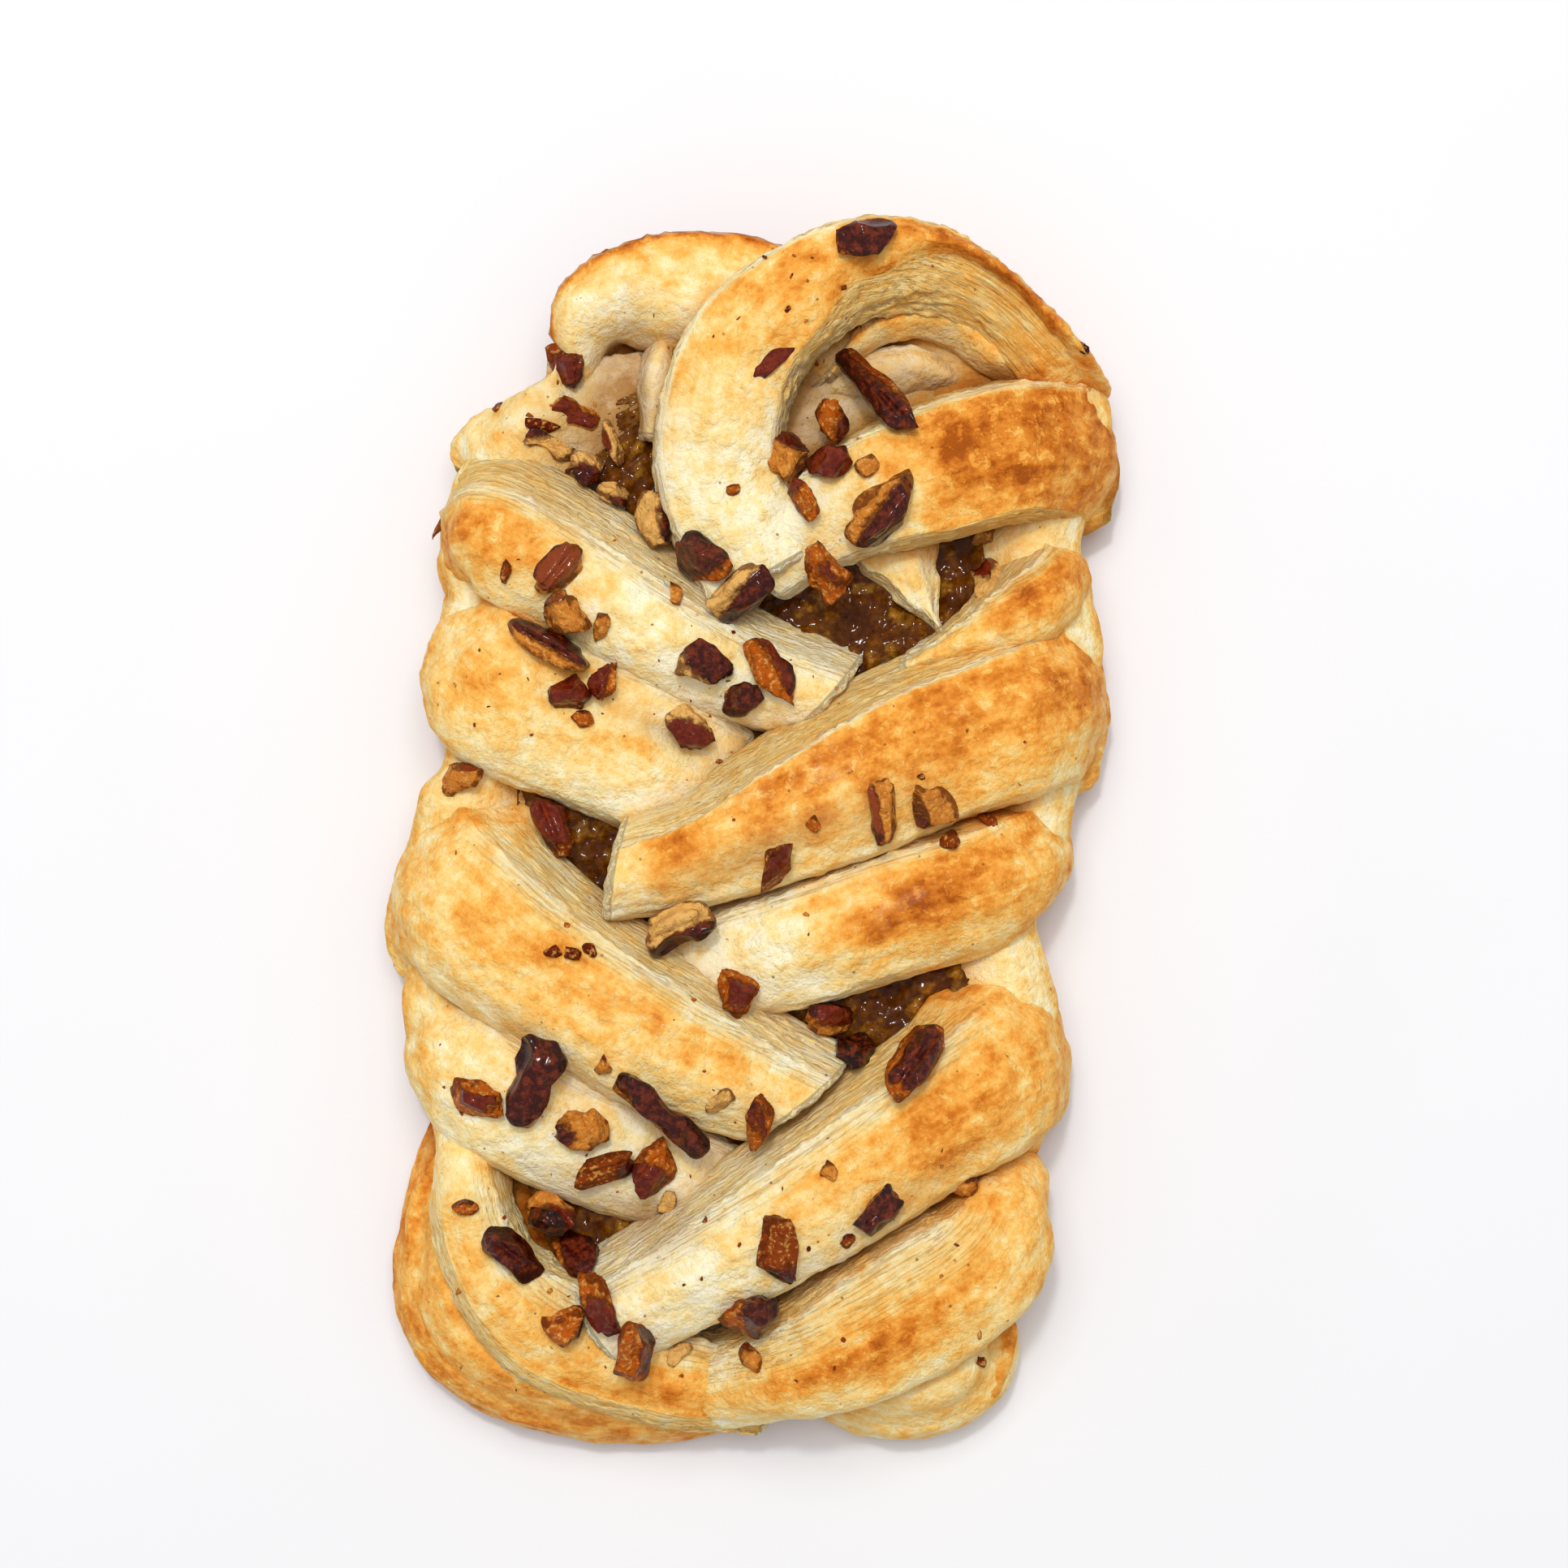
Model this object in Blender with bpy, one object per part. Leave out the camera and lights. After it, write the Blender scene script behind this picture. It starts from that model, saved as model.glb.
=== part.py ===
"""A braided pecan plait: strips of puff pastry folded over a nut filling, with pecan pieces on top.

Lengths are in millimetres up to the mesh builder, which scales them to metres. The plait lies
along Y, its flat underside is at z = 0, and it is widest across X. Seen from above, each strip
starts at the left or right side and runs inwards over the filling.
"""

import math
import random
from collections import namedtuple

import bmesh
import bpy
from mathutils import Vector, noise
from mathutils.bvhtree import BVHTree

MM = 0.001
UP = Vector((0, 0, 1))

# The pastry sheet under the filling: (inset from the outline, height) of each ring of its side.
SHEET_RINGS = ((5.0, -1.0), (3.2, 2.0), (2.4, 6.0), (1.0, 10.4), (4.0, 13.6), (7.0, 14.4), (12.0, 12.2))
SPINE_HALF_LENGTH = 48.0

# The filling is a slab with a lumpy top, which runs the whole length under the strips.
FILLING_HALF_WIDTH = 27.0
FILLING_ENDS = (-56.0, 50.0)
FILLING_FLOOR = 6.5
FILLING_TOP = 12.8
FILLING_LUMPS = 0.9
FILLING_CELL = 5.0
GAP = 0.3

# A strip leaves the underside this far in from the outline and bulges out at this height.
ROOT_TUCK = 1.2
ROOT_INSET = 0.3
ROOT_LEAST_X = 20.0
BULGE_HEIGHT = 9.5
ROOTED_STATIONS = 4
STATION_STEP = 5.6
CROWN = (0.40, 0.22, 0.18, 0.16, 0.20)
RELIEF = 0.35
RELIEF_WAVELENGTH = 7.0

# A strip runs through the points of its path to its tip. Its side is -1 for left and 1 for
# right. Its root is the Y at which it leaves the outline, or None if it starts at its first
# point. "width", "under" (the height of its underside) and "thick" are runs of values from its
# start to its tip. "bands" are the widths, seen from above, of the cut faces along its upper and
# its lower edge. "skew" is the slant of its tip in degrees.
Strip = namedtuple("Strip", "name side root path width under thick bands skew")

STRIPS = (
    Strip("left_rim", -1, 48.5, ((-25.5, 45.0), (-20.0, 45.0), (-15.0, 46.0)),
          (17, 19, 19), (9.0, 6.5, 5.0), (6, 5.5, 5.5), (1.0, 1.0), 35),
    Strip("top_lobe", -1, 60.5, ((-14.5, 61.0), (-6.0, 61.5), (2.0, 59.0), (8.0, 54.0)),
          (8, 13.0, 14), (8.0, 11.0, 8.0), (9, 9, 7), (1.0, 1.5), 0),
    Strip("tongue", -1, None, ((-11.5, 58.0), (-11.5, 52.0), (-12.0, 45.5)),
          (4.0, 3.4, 2.8), (9, 8, 7), (7, 6, 5), (0.6, 0.6), 0),
    Strip("eye_floor", -1, None, ((-1.0, 43.5), (7.0, 46.5), (16.0, 48.5), (27.0, 49.5)),
          (15, 14, 9), (6, 7, 7), (8, 8, 8), (1.0, 1.0), 0),
    Strip("eye_fold", -1, None, ((5.0, 50.0), (12.0, 51.5), (18.0, 52.5), (24.0, 51.5)),
          (8.0, 8.0, 5.5), (9, 10.5, 10), (8, 8, 7), (1.0, 1.0), 0),
    Strip("arch_lip", 1, None,
          ((30.5, 50.0), (26.5, 54.0), (20.0, 57.5), (13.0, 57.5), (7.5, 54.0)),
          (5.5, 5.5, 5.0), (10, 11.5, 11), (8, 8, 8), (0.8, 0.8), 0),
    Strip("right_arch", 1, 51.5,
          ((31.5, 52.5), (25.5, 57.8), (19.0, 62.0), (12.0, 62.8), (5.0, 59.5), (-0.5, 54.5),
           (-3.3, 47.0), (-3.3, 39.0), (0.5, 31.0)),
          (10, 11.5, 13, 14.5, 15), (12, 14, 16, 15, 13), (9, 10, 8), (1.0, 3.5), 0),
    Strip("right_band", 1, 44.5,
          ((29.0, 43.0), (20.0, 40.5), (12.0, 37.5), (6.0, 34.0), (1.0, 30.5)),
          (17.0, 16.5, 13.0), (13, 14, 13), (9, 9.5, 8.5), (1.6, 1.4), 0),
    Strip("gap_tip", 1, None, ((16.6, 38.0), (17.3, 33.5), (18.3, 29.0), (20.4, 23.8)),
          (8.5, 8.0, 1.6), (11, 12.6, 13.4), (5.5, 3.2, 2.0), (0.8, 0.8), 0),
    Strip("gap_ridge", 1, 30.5, ((31.5, 25.8), (24.0, 21.8), (18.0, 19.3)),
          (12, 6.5, 4.0), (12, 12, 12), (8, 8, 6), (0.8, 1.2), 0),
    Strip("left_upper", -1, 34.8,
          ((-29.5, 35.0), (-20.5, 30.2), (-11.5, 24.2), (-2.5, 19.2), (8.0, 15.5)),
          (18, 17.0, 12.5), (13, 13.5, 12), (8.5, 8.5, 7), (3.2, 1.2), 25),
    Strip("left_second", -1, 20.5, ((-29.5, 16.5), (-20.5, 12.5), (-11.5, 8.5), (-4.5, 5.0)),
          (15, 19, 18), (12.5, 11.5, 8), (8.5, 8.5, 7.5), (1.4, 1.2), 0),
    Strip("right_main", 1, 15.5,
          ((30.0, 14.0), (20.0, 10.5), (11.0, 6.2), (2.0, 2.2), (-7.0, -1.8), (-15.0, -4.0)),
          (22.5, 20.0, 12.5), (13, 15.5, 15), (9, 9.5, 8.5), (4.2, 1.0), -22),
    Strip("right_lower", 1, -3.0,
          ((26.5, -5.0), (15.5, -8.3), (6.5, -11.5), (-2.5, -14.5), (-8.0, -16.5)),
          (15, 17, 16), (12, 12.5, 9), (9, 9.5, 8), (3.0, 1.4), 0),
    Strip("left_main", -1, -4.0,
          ((-31.5, -8.0), (-24.5, -13.8), (-17.5, -18.2), (-10.0, -22.7), (-2.3, -26.7), (5.0, -30.0)),
          (26, 21, 19, 15), (13, 15.5, 13.5), (9, 9, 8), (4.0, 1.6), 30),
    Strip("left_fourth", -1, -25.0,
          ((-29.5, -28.5), (-20.5, -33.5), (-11.5, -37.5), (-4.5, -41.0)),
          (18, 17, 15), (12.5, 11, 8), (8.5, 8.5, 7.5), (1.8, 1.2), 0),
    Strip("bottom_outer", -1, None,
          ((-34.0, -31.0), (-36.5, -38.0), (-37.5, -46.0), (-37.5, -54.0), (-34.2, -60.2),
           (-26.5, -64.3), (-16.0, -66.0), (-5.0, -65.0), (5.0, -62.5), (13.0, -59.0)),
          (6, 10.5, 9.5, 6), (0, 0, 0), (9, 12, 10.5, 8), (1.0, 4.0), 0),
    Strip("bottom_inner", -1, -34.5,
          ((-33.0, -39.5), (-29.5, -47.5), (-24.5, -55.0), (-17.0, -61.0), (-7.5, -65.5)),
          (9, 13, 8), (11, 11.5, 6), (8, 8.5, 7.5), (1.2, 4.0), 0),
    Strip("right_fifth", 1, -23.5,
          ((25.5, -28.0), (15.5, -34.5), (6.5, -40.5), (-2.5, -46.0), (-11.5, -51.5), (-17.5, -55.0)),
          (22, 18, 14), (13, 15, 12), (9, 9.5, 8), (3.6, 1.2), 0),
    Strip("right_last", 1, -41.5,
          ((26.0, -47.0), (17.5, -53.0), (7.5, -58.5), (-1.0, -61.8), (-6.5, -63.5)),
          (11, 19, 12), (11.5, 12, 6.5), (9, 10, 7), (3.2, 1.2), 0),
    Strip("bottom_lobe", 1, None,
          ((23.5, -48.0), (24.4, -55.5), (24.0, -62.0), (18.0, -64.6), (10.0, -63.4), (2.0, -61.0)),
          (7, 12, 11.5, 7), (0, 0, 0), (9, 12, 9), (0.8, 4.0), 0),
)

# The outline of the plait, from its upper right side round by the bottom.
OUTLINE = (
    (38.2, 55.5), (42.0, 46.1), (38.4, 32.6), (40.9, 20.0), (38.1, 4.1), (36.0, -5.3),
    (33.4, -10.5), (35.8, -20.2), (34.7, -33.3), (31.9, -47.0), (30.2, -52.0), (31.8, -58.6),
    (29.3, -66.1), (20.6, -69.7), (11.3, -68.0), (1.9, -68.4), (-7.4, -69.8), (-16.8, -70.7),
    (-26.1, -69.0), (-35.5, -64.8), (-40.4, -61.5), (-42.4, -52.0), (-41.4, -42.7),
    (-37.2, -34.0), (-41.1, -22.1), (-40.5, -15.0), (-41.1, -6.0), (-39.2, 4.0), (-36.2, 9.0),
    (-37.6, 20.9), (-36.0, 27.0), (-37.1, 32.1), (-35.8, 41.5), (-28.0, 50.8), (-22.9, 55.0),
    (-22.6, 62.8), (-17.0, 67.2), (-9.5, 69.3), (-2.7, 68.4), (1.9, 66.2), (6.6, 68.6),
    (16.0, 70.5), (25.3, 66.9), (33.5, 59.5),
)

# The pecan pieces: centre, length, width, direction of the length in degrees from X, height and
# kind. A chunk has broken flat sides, and a slab is one that bears on the highest places under
# it. A half is smooth with a groove, and a waist is narrow in the middle. Small pieces that are
# one with the pastry are crumbs: centre, length, width and direction.
Nut = namedtuple("Nut", "x y long wide turn tall kind")

NUTS = (
    Nut(-20.8, 53.0, 5.7, 4.6, 90, 3.6, "chunk"),
    Nut(-20.3, 47.5, 6.4, 4.0, -10, 2.6, "chunk"),
    Nut(-23.2, 44.0, 5.7, 3.3, -15, 3.2, "half"),
    Nut(-16.0, 44.2, 5.7, 2.4, -75, 2.8, "chunk"),
    Nut(-18.9, 40.2, 4.8, 4.0, -80, 3.6, "chunk"),
    Nut(-15.9, 36.7, 4.8, 4.0, -35, 4.0, "chunk"),
    Nut(-12.2, 34.3, 6.6, 4.0, 100, 4.2, "half"),
    Nut(12.6, 65.6, 6.8, 4.7, -5, 4.4, "chunk"),
    Nut(2.2, 52.1, 6.1, 2.1, 40, 1.8, "chunk"),
    Nut(14.3, 48.9, 12.5, 3.9, -52, 4.8, "half"),
    Nut(2.5, 41.2, 6.4, 5.5, 50, 4.4, "chunk"),
    Nut(10.0, 44.9, 5.6, 3.6, -65, 4.2, "slab"),
    Nut(8.4, 40.5, 5.0, 4.1, 25, 4.4, "chunk"),
    Nut(5.6, 37.0, 5.2, 2.9, -60, 3.6, "chunk"),
    Nut(13.9, 35.5, 9.9, 5.2, 42, 4.8, "half"),
    Nut(8.5, 28.6, 6.9, 5.3, -70, 4.6, "slab"),
    Nut(-21.7, 29.5, 6.7, 4.0, 50, 3.4, "half"),
    Nut(-20.6, 24.7, 6.3, 4.1, -40, 4.2, "chunk"),
    Nut(-23.2, 21.0, 10.4, 3.6, -28, 4.6, "half"),
    Nut(-20.5, 15.8, 4.7, 4.1, 20, 4.0, "chunk"),
    Nut(-17.0, 17.1, 4.9, 3.3, 60, 3.8, "chunk"),
    Nut(-5.9, 31.1, 6.5, 5.0, -40, 4.4, "chunk"),
    Nut(-2.3, 25.9, 8.8, 4.7, 40, 4.4, "half"),
    Nut(-5.2, 19.2, 6.8, 4.9, -15, 4.2, "chunk"),
    Nut(1.8, 18.1, 8.9, 3.4, -55, 4.0, "chunk"),
    Nut(-1.2, 14.9, 4.9, 3.8, 10, 3.8, "chunk"),
    Nut(-7.1, 12.3, 6.1, 4.9, -60, 4.4, "chunk"),
    Nut(2.7, -3.9, 5.9, 3.4, 72, 3.8, "chunk"),
    Nut(14.2, 2.3, 7.5, 3.2, 95, 3.8, "chunk"),
    Nut(20.2, 3.0, 5.0, 4.5, -20, 4.4, "chunk"),
    Nut(-1.8, -18.1, 5.6, 4.5, -60, 3.8, "slab"),
    Nut(8.4, -20.4, 6.7, 5.3, 80, 5.0, "chunk"),
    Nut(10.8, -25.6, 5.5, 4.4, 0, 4.0, "chunk"),
    Nut(17.9, -25.5, 9.5, 4.3, 55, 4.8, "half"),
    Nut(-9.2, -10.0, 9.2, 5.8, 25, 4.8, "half"),
    Nut(-23.4, -27.2, 10.2, 5.6, 75, 4.8, "waist"),
    Nut(-10.2, -31.0, 13.3, 3.8, -42, 4.8, "waist"),
    Nut(-30.8, -29.5, 6.3, 4.0, -10, 3.8, "chunk"),
    Nut(-19.0, -33.0, 5.8, 4.5, 30, 4.0, "chunk"),
    Nut(0.6, -32.2, 6.8, 3.2, 85, 3.6, "chunk"),
    Nut(-16.5, -37.6, 7.8, 3.6, 18, 4.0, "half"),
    Nut(-10.9, -37.6, 7.0, 4.0, 62, 4.2, "chunk"),
    Nut(-22.1, -41.6, 6.9, 4.6, -30, 4.2, "chunk"),
    Nut(-20.5, -48.6, 6.3, 5.1, -25, 4.6, "chunk"),
    Nut(-26.8, -47.5, 8.1, 4.0, -38, 4.4, "half"),
    Nut(-17.3, -52.6, 7.2, 3.8, -62, 4.0, "chunk"),
    Nut(-21.1, -55.3, 5.3, 4.7, 0, 4.0, "chunk"),
    Nut(-13.4, -57.8, 7.6, 4.3, 78, 4.4, "half"),
    Nut(-24.0, -44.6, 5.9, 3.7, -25, 3.6, "chunk"),
    Nut(2.9, -46.3, 7.4, 5.0, 80, 4.4, "chunk"),
    Nut(13.9, -42.0, 6.6, 3.9, 45, 4.2, "half"),
    Nut(-1.2, -53.4, 7.2, 4.9, 5, 4.4, "slab"),
    Nut(-23.6, -0.3, 8.1, 4.2, -68, 4.4, "half"),
    Nut(27.0, 27.2, 7.4, 4.2, 75, 4.2, "slab"),
    Nut(-33.2, 6.3, 5.4, 4.0, 25, 4.0, "chunk"),
)
CRUMBS = (
    (-24.0, 46.0, 4.8, 1.8, -5), (-16.8, 23.0, 4.3, 2.3, 80), (-18.8, 12.7, 3.4, 2.5, -30),
    (-4.0, -30.2, 4.9, 2.5, 40), (-8.6, -59.1, 4.5, 2.4, 45), (23.8, -39.9, 3.6, 3.1, 0),
    (-0.5, -59.2, 4.2, 2.9, -50), (13.0, 40.5, 3.4, 3.0, 40), (-8.6, 26.9, 3.4, 2.2, -70),
    (21.9, -0.8, 2.9, 2.5, 0), (26.8, 1.1, 3.4, 1.8, -40), (6.7, 1.0, 2.3, 2.2, 0),
    (-22.2, -13.0, 2.2, 1.8, 0), (-20.1, -13.5, 2.0, 2.5, 70), (-18.0, -13.1, 2.0, 2.0, 0),
    (-16.8, -26.0, 3.3, 2.3, 80), (-9.9, -41.7, 3.4, 2.5, 80), (-32.2, -42.2, 3.1, 2.5, 0),
    (10.7, -45.3, 2.5, 1.8, 30), (8.5, -37.4, 3.0, 2.3, -40), (26.0, -60.7, 1.7, 1.7, 0),
    (-27.6, 29.1, 3.1, 1.6, 80), (-2.2, 38.2, 2.1, 1.6, 0), (-36.0, 35.0, 3.9, 1.3, 55),
    (36.8, 54.2, 2.2, 1.5, -40), (-29.2, 48.4, 2.6, 1.3, 5), (26.2, 33.5, 4.8, 2.8, 20),
    (18.6, 6.2, 1.4, 0.9, -20),
)
CRUMB_TALL = 0.75
NUT_SIDES = 7
NUT_RINGS = 5
CRUMB_SIDES = 5
CRUMB_RINGS = 4
FULLNESS = 0.75
SUNK = 0.22
STEEPEST = 0.45
SLIDE = 0.7
LIFT_STEP = 0.3
CLEARING_STEPS = 20
CLEARING_SHARE = 0.06
DRAWN_IN = (0.0, 0.06, 0.12, 0.18, 0.24, 0.3, 0.36, 0.42, 0.48, 0.54)


def blend(values, s):
    """The value at s, from 0 to 1, of a smooth run through values that lie evenly along it."""
    place = s * (len(values) - 1)
    i = min(int(place), len(values) - 2)
    u = place - i
    return values[i] + (values[i + 1] - values[i]) * u * u * (3 - 2 * u)


def catmull_rom(a, b, c, d, u):
    return 0.5 * (2 * b + (c - a) * u + (2 * a - 5 * b + 4 * c - d) * u ** 2
                  + (3 * b - a - 3 * c + d) * u ** 3)


def smooth_curve(points, closed=False, pieces=8):
    """Points along the smooth curve through the given ones, with so many pieces to each span."""
    count = len(points)
    spans = count if closed else count - 1
    found = []
    for i in range(spans):
        around = [points[(i + k) % count] if closed else points[min(max(i + k, 0), count - 1)]
                  for k in (-1, 0, 1, 2)]
        found += [catmull_rom(*around, j / pieces) for j in range(pieces)]
    return found if closed else found + [points[-1]]


def even_stations(points, step):
    """The same curve at even distances, near to the step."""
    lengths = [0.0]
    for before, after in zip(points, points[1:]):
        lengths.append(lengths[-1] + (after - before).length)
    count = max(2, round(lengths[-1] / step))
    found = []
    i = 0
    for k in range(count + 1):
        wanted = lengths[-1] * k / count
        while i < len(points) - 2 and lengths[i + 1] < wanted:
            i += 1
        u = (wanted - lengths[i]) / (lengths[i + 1] - lengths[i])
        found.append(points[i].lerp(points[i + 1], min(max(u, 0.0), 1.0)))
    return found


def strip_root(strip):
    """The place on the outline where a strip starts, and the outward direction there."""
    outline = smooth_curve([Vector((x, y, 0)) for x, y in OUTLINE], closed=True, pieces=4)
    near = min((i for i in range(len(outline)) if outline[i].x * strip.side > ROOT_LEAST_X),
               key=lambda i: abs(outline[i].y - strip.root))
    along = outline[(near + 3) % len(outline)] - outline[near - 3]
    return outline[near], along.cross(UP).normalized() * -1


def strip_centres(strip):
    """The strip's centre line: up round the side of the plait, then inwards along its path."""
    last = len(strip.path) - 1
    points = []
    if strip.root is not None:
        root, outward = strip_root(strip)
        half = strip.thick[0] / 2
        points.append(root - outward * (half + ROOT_TUCK) + UP * 0.5)
        points.append(root - outward * (half + ROOT_INSET) + UP * BULGE_HEIGHT)
    for i, (x, y) in enumerate(strip.path):
        s = i / last
        points.append(Vector((x, y, blend(strip.under, s) + blend(strip.thick, s) / 2)))
    return even_stations(smooth_curve(points), STATION_STEP)


def section(width, thick, bands, crown):
    """(across, up) points round a strip, from the foot of its upper cut face. The cut faces are
    stepped like the layers in them, and the crust between them is crowned by the given share of
    the thickness."""
    upper, lower = bands
    half = width / 2
    left = half - upper
    right = -half + lower
    points = [(half, 0.0)]
    edge = thick * (1 - crown)
    for rise, out in ((0.30, 0.10), (0.42, -0.10), (0.70, 0.08)):
        points.append((half - upper * (rise - out), edge * rise))
    for k in range(5):
        u = k / 4
        points.append((left + (right - left) * u, edge + thick * crown * math.sin(math.pi * u)))
    for rise, out in ((0.78, 0.55), (0.42, 0.9), (0.0, 0.65)):
        points.append((right - lower * out, edge * rise))
    return points


def frame_at(centres, i, strip):
    """(forward, across, outward) unit vectors at a station. Across points to the upper edge, and
    at the root it follows the outline."""
    ahead = centres[min(i + 1, len(centres) - 1)]
    behind = centres[max(i - 1, 0)]
    forward = (ahead - behind).normalized()
    inward = Vector((ahead.x - behind.x, ahead.y - behind.y, 0))
    if strip.root is not None:
        rooted = max(0.0, 1 - i / ROOTED_STATIONS)
        inward = inward.normalized() * (1 - rooted) - strip_root(strip)[1] * rooted
    across = inward.normalized().cross(UP) * strip.side
    across = (across - forward * across.dot(forward)).normalized()
    outward = forward.cross(across) * -strip.side
    return forward, across, outward


def relief(point):
    return RELIEF * noise.noise(point / RELIEF_WAVELENGTH)


def strip_rings(strip):
    """The sections of a strip in place, from root to tip, ending in a smaller one."""
    centres = strip_centres(strip)
    slant = math.tan(math.radians(strip.skew))
    last = len(centres) - 1
    rings = []
    for i, centre in enumerate(centres):
        s = i / last
        forward, across, outward = frame_at(centres, i, strip)
        width = blend(strip.width, s)
        thick = blend(strip.thick, s)
        ring = []
        crown = blend(CROWN, s)
        for v, w in section(width, thick, strip.bands, crown):
            shift = v * slant * max(0.0, 2 * s - 1)
            point = centre + forward * shift + across * v + outward * (w - thick / 2)
            ring.append(point + outward * relief(point))
        rings.append(ring)
    middle = sum(rings[-1], Vector()) / len(rings[-1])
    rings.append([middle + (point - middle) * 0.8 + forward * 0.9 for point in rings[-1]])
    return rings


def solid_from_rings(name, rings):
    """A closed mesh object through rings of equally many points."""
    shape = bmesh.new()
    loops = [[shape.verts.new(point * MM) for point in ring] for ring in rings]
    for near, far in zip(loops, loops[1:]):
        for i in range(len(near)):
            j = (i + 1) % len(near)
            shape.faces.new((near[i], near[j], far[j], far[i]))
    shape.faces.new(loops[0])
    shape.faces.new(loops[-1])
    bmesh.ops.triangulate(shape, faces=shape.faces)
    bmesh.ops.recalc_face_normals(shape, faces=shape.faces)
    return object_from(name, shape)


def object_from(name, shape):
    mesh = bpy.data.meshes.new(name)
    shape.to_mesh(mesh)
    shape.free()
    made = bpy.data.objects.new(name, mesh)
    bpy.context.scene.collection.objects.link(made)
    return made


def sheet():
    """The base sheet, with its side drawn in under the strips."""
    outline = smooth_curve([Vector((x, y, 0)) for x, y in OUTLINE], closed=True, pieces=2)
    rings = []
    for inset, height in SHEET_RINGS:
        ring = []
        for point in outline:
            y = min(max(point.y, -SPINE_HALF_LENGTH), SPINE_HALF_LENGTH)
            inward = (Vector((0, y, 0)) - point).normalized()
            ring.append(point + inward * inset + UP * height)
        rings.append(ring)
    return solid_from_rings("sheet", rings)


def filling_top(x, y):
    lumps = noise.noise(Vector((x, y, 0)) / 6.0) + 0.5 * noise.noise(Vector((x, y, 9)) / 2.8)
    return FILLING_TOP + FILLING_LUMPS * lumps


def filling(name, grow):
    """The slab of filling, grown all round by so much."""
    low, high = FILLING_ENDS
    columns = round(2 * FILLING_HALF_WIDTH / FILLING_CELL)
    rows = round((high - low) / FILLING_CELL)
    rings = []
    for j in range(rows + 1):
        y = low + (high - low) * j / rows
        narrow = math.sqrt(1 - (2 * j / rows - 1) ** 4 * 0.75)
        half = FILLING_HALF_WIDTH * narrow + grow
        reach = {0: -grow, rows: grow}.get(j, 0)
        ring = []
        for i in range(columns + 1):
            x = half * (2 * i / columns - 1)
            ring.append(Vector((x, y + reach, filling_top(x, y) + grow)))
        ring.append(Vector((half, y + reach, FILLING_FLOOR - grow)))
        ring.append(Vector((-half, y + reach, FILLING_FLOOR - grow)))
        rings.append(ring)
    return solid_from_rings(name, rings)


def apply_boolean(target, operation, other):
    """Joins a collection to the target, or cuts an object from it, and removes what was used."""
    change = target.modifiers.new(operation.lower(), "BOOLEAN")
    change.operation = operation
    change.solver = "MANIFOLD"
    if isinstance(other, bpy.types.Collection):
        change.operand_type = "COLLECTION"
        change.collection = other
        used = list(other.objects)
    else:
        change.object = other
        used = [other]
    graph = bpy.context.evaluated_depsgraph_get()
    joined = bpy.data.meshes.new_from_object(target.evaluated_get(graph))
    target.modifiers.remove(change)
    target.data = joined
    for piece in used:
        bpy.data.objects.remove(piece)


def floor_block():
    """What lies below the resting plane, to cut the underside flat."""
    shape = bmesh.new()
    bmesh.ops.create_cube(shape, size=1.0)
    bmesh.ops.scale(shape, vec=Vector((0.3, 0.3, 0.02)), verts=shape.verts)
    bmesh.ops.translate(shape, vec=Vector((0, 0, -0.01)), verts=shape.verts)
    return object_from("floor_block", shape)


def islands(shape):
    """The faces of the mesh, as one list for each separate shell."""
    seen = set()
    found = []
    for start in shape.faces:
        if start in seen:
            continue
        seen.add(start)
        shell = [start]
        for face in shell:
            for edge in face.edges:
                for other in edge.link_faces:
                    if other not in seen:
                        seen.add(other)
                        shell.append(other)
        found.append(shell)
    return found


def keep_largest_shell(target):
    """Fills the hollows that joining sealed, and drops loose scraps."""
    shape = bmesh.new()
    shape.from_mesh(target.data)
    shells = sorted(islands(shape), key=len)
    for shell in shells[:-1]:
        bmesh.ops.delete(shape, geom=shell, context="FACES")
    shape.to_mesh(target.data)
    shape.free()


def nut_points(nut, sides, rings, seed):
    """A closed bmesh of one nut piece about its own centre, with its length along X."""
    shape = bmesh.new()
    bmesh.ops.create_uvsphere(shape, u_segments=sides, v_segments=rings, radius=1.0)
    draw = random.Random(seed)
    cuts = []
    for _ in range(4):
        cut = Vector((draw.uniform(-1, 1), draw.uniform(-1, 1), draw.uniform(-0.2, 1)))
        cuts.append((cut.normalized(), draw.uniform(0.6, 0.85)))
    drift = Vector((draw.uniform(0, 9), draw.uniform(0, 9), seed))
    for vert in shape.verts:
        full = Vector([math.copysign(abs(c) ** FULLNESS, c) for c in vert.co])
        point = full * (1 + 0.35 * noise.noise(vert.co * 1.3 + drift))
        if nut.kind in ("chunk", "slab"):
            for direction, reach in cuts:
                point -= direction * max(0.0, point.dot(direction) - reach)
            point *= 1.12
        if nut.kind == "waist":
            point.y *= 1 - 0.3 * math.exp(-(point.x / 0.3) ** 2)
        if nut.kind == "half" and point.z > 0:
            point.z *= 1 - 0.3 * math.exp(-(point.y / 0.22) ** 2)
        vert.co = point
    for axis, size in enumerate((nut.long, nut.wide, nut.tall)):
        low = min(vert.co[axis] for vert in shape.verts)
        high = max(vert.co[axis] for vert in shape.verts)
        for vert in shape.verts:
            vert.co[axis] = size * ((vert.co[axis] - low) / (high - low) - 0.5)
    return shape


def surface_tree(objects):
    """A tree of all the objects' surfaces, in millimetres."""
    points = []
    faces = []
    for piece in objects:
        first = len(points)
        points += [vert.co / MM for vert in piece.data.vertices]
        faces += [[first + i for i in polygon.vertices] for polygon in piece.data.polygons]
    return BVHTree.FromPolygons(points, faces)


def height_at(tree, x, y):
    hit = tree.ray_cast(Vector((x, y, 90.0)), -UP)[0]
    return hit.z if hit else 0.0


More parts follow.
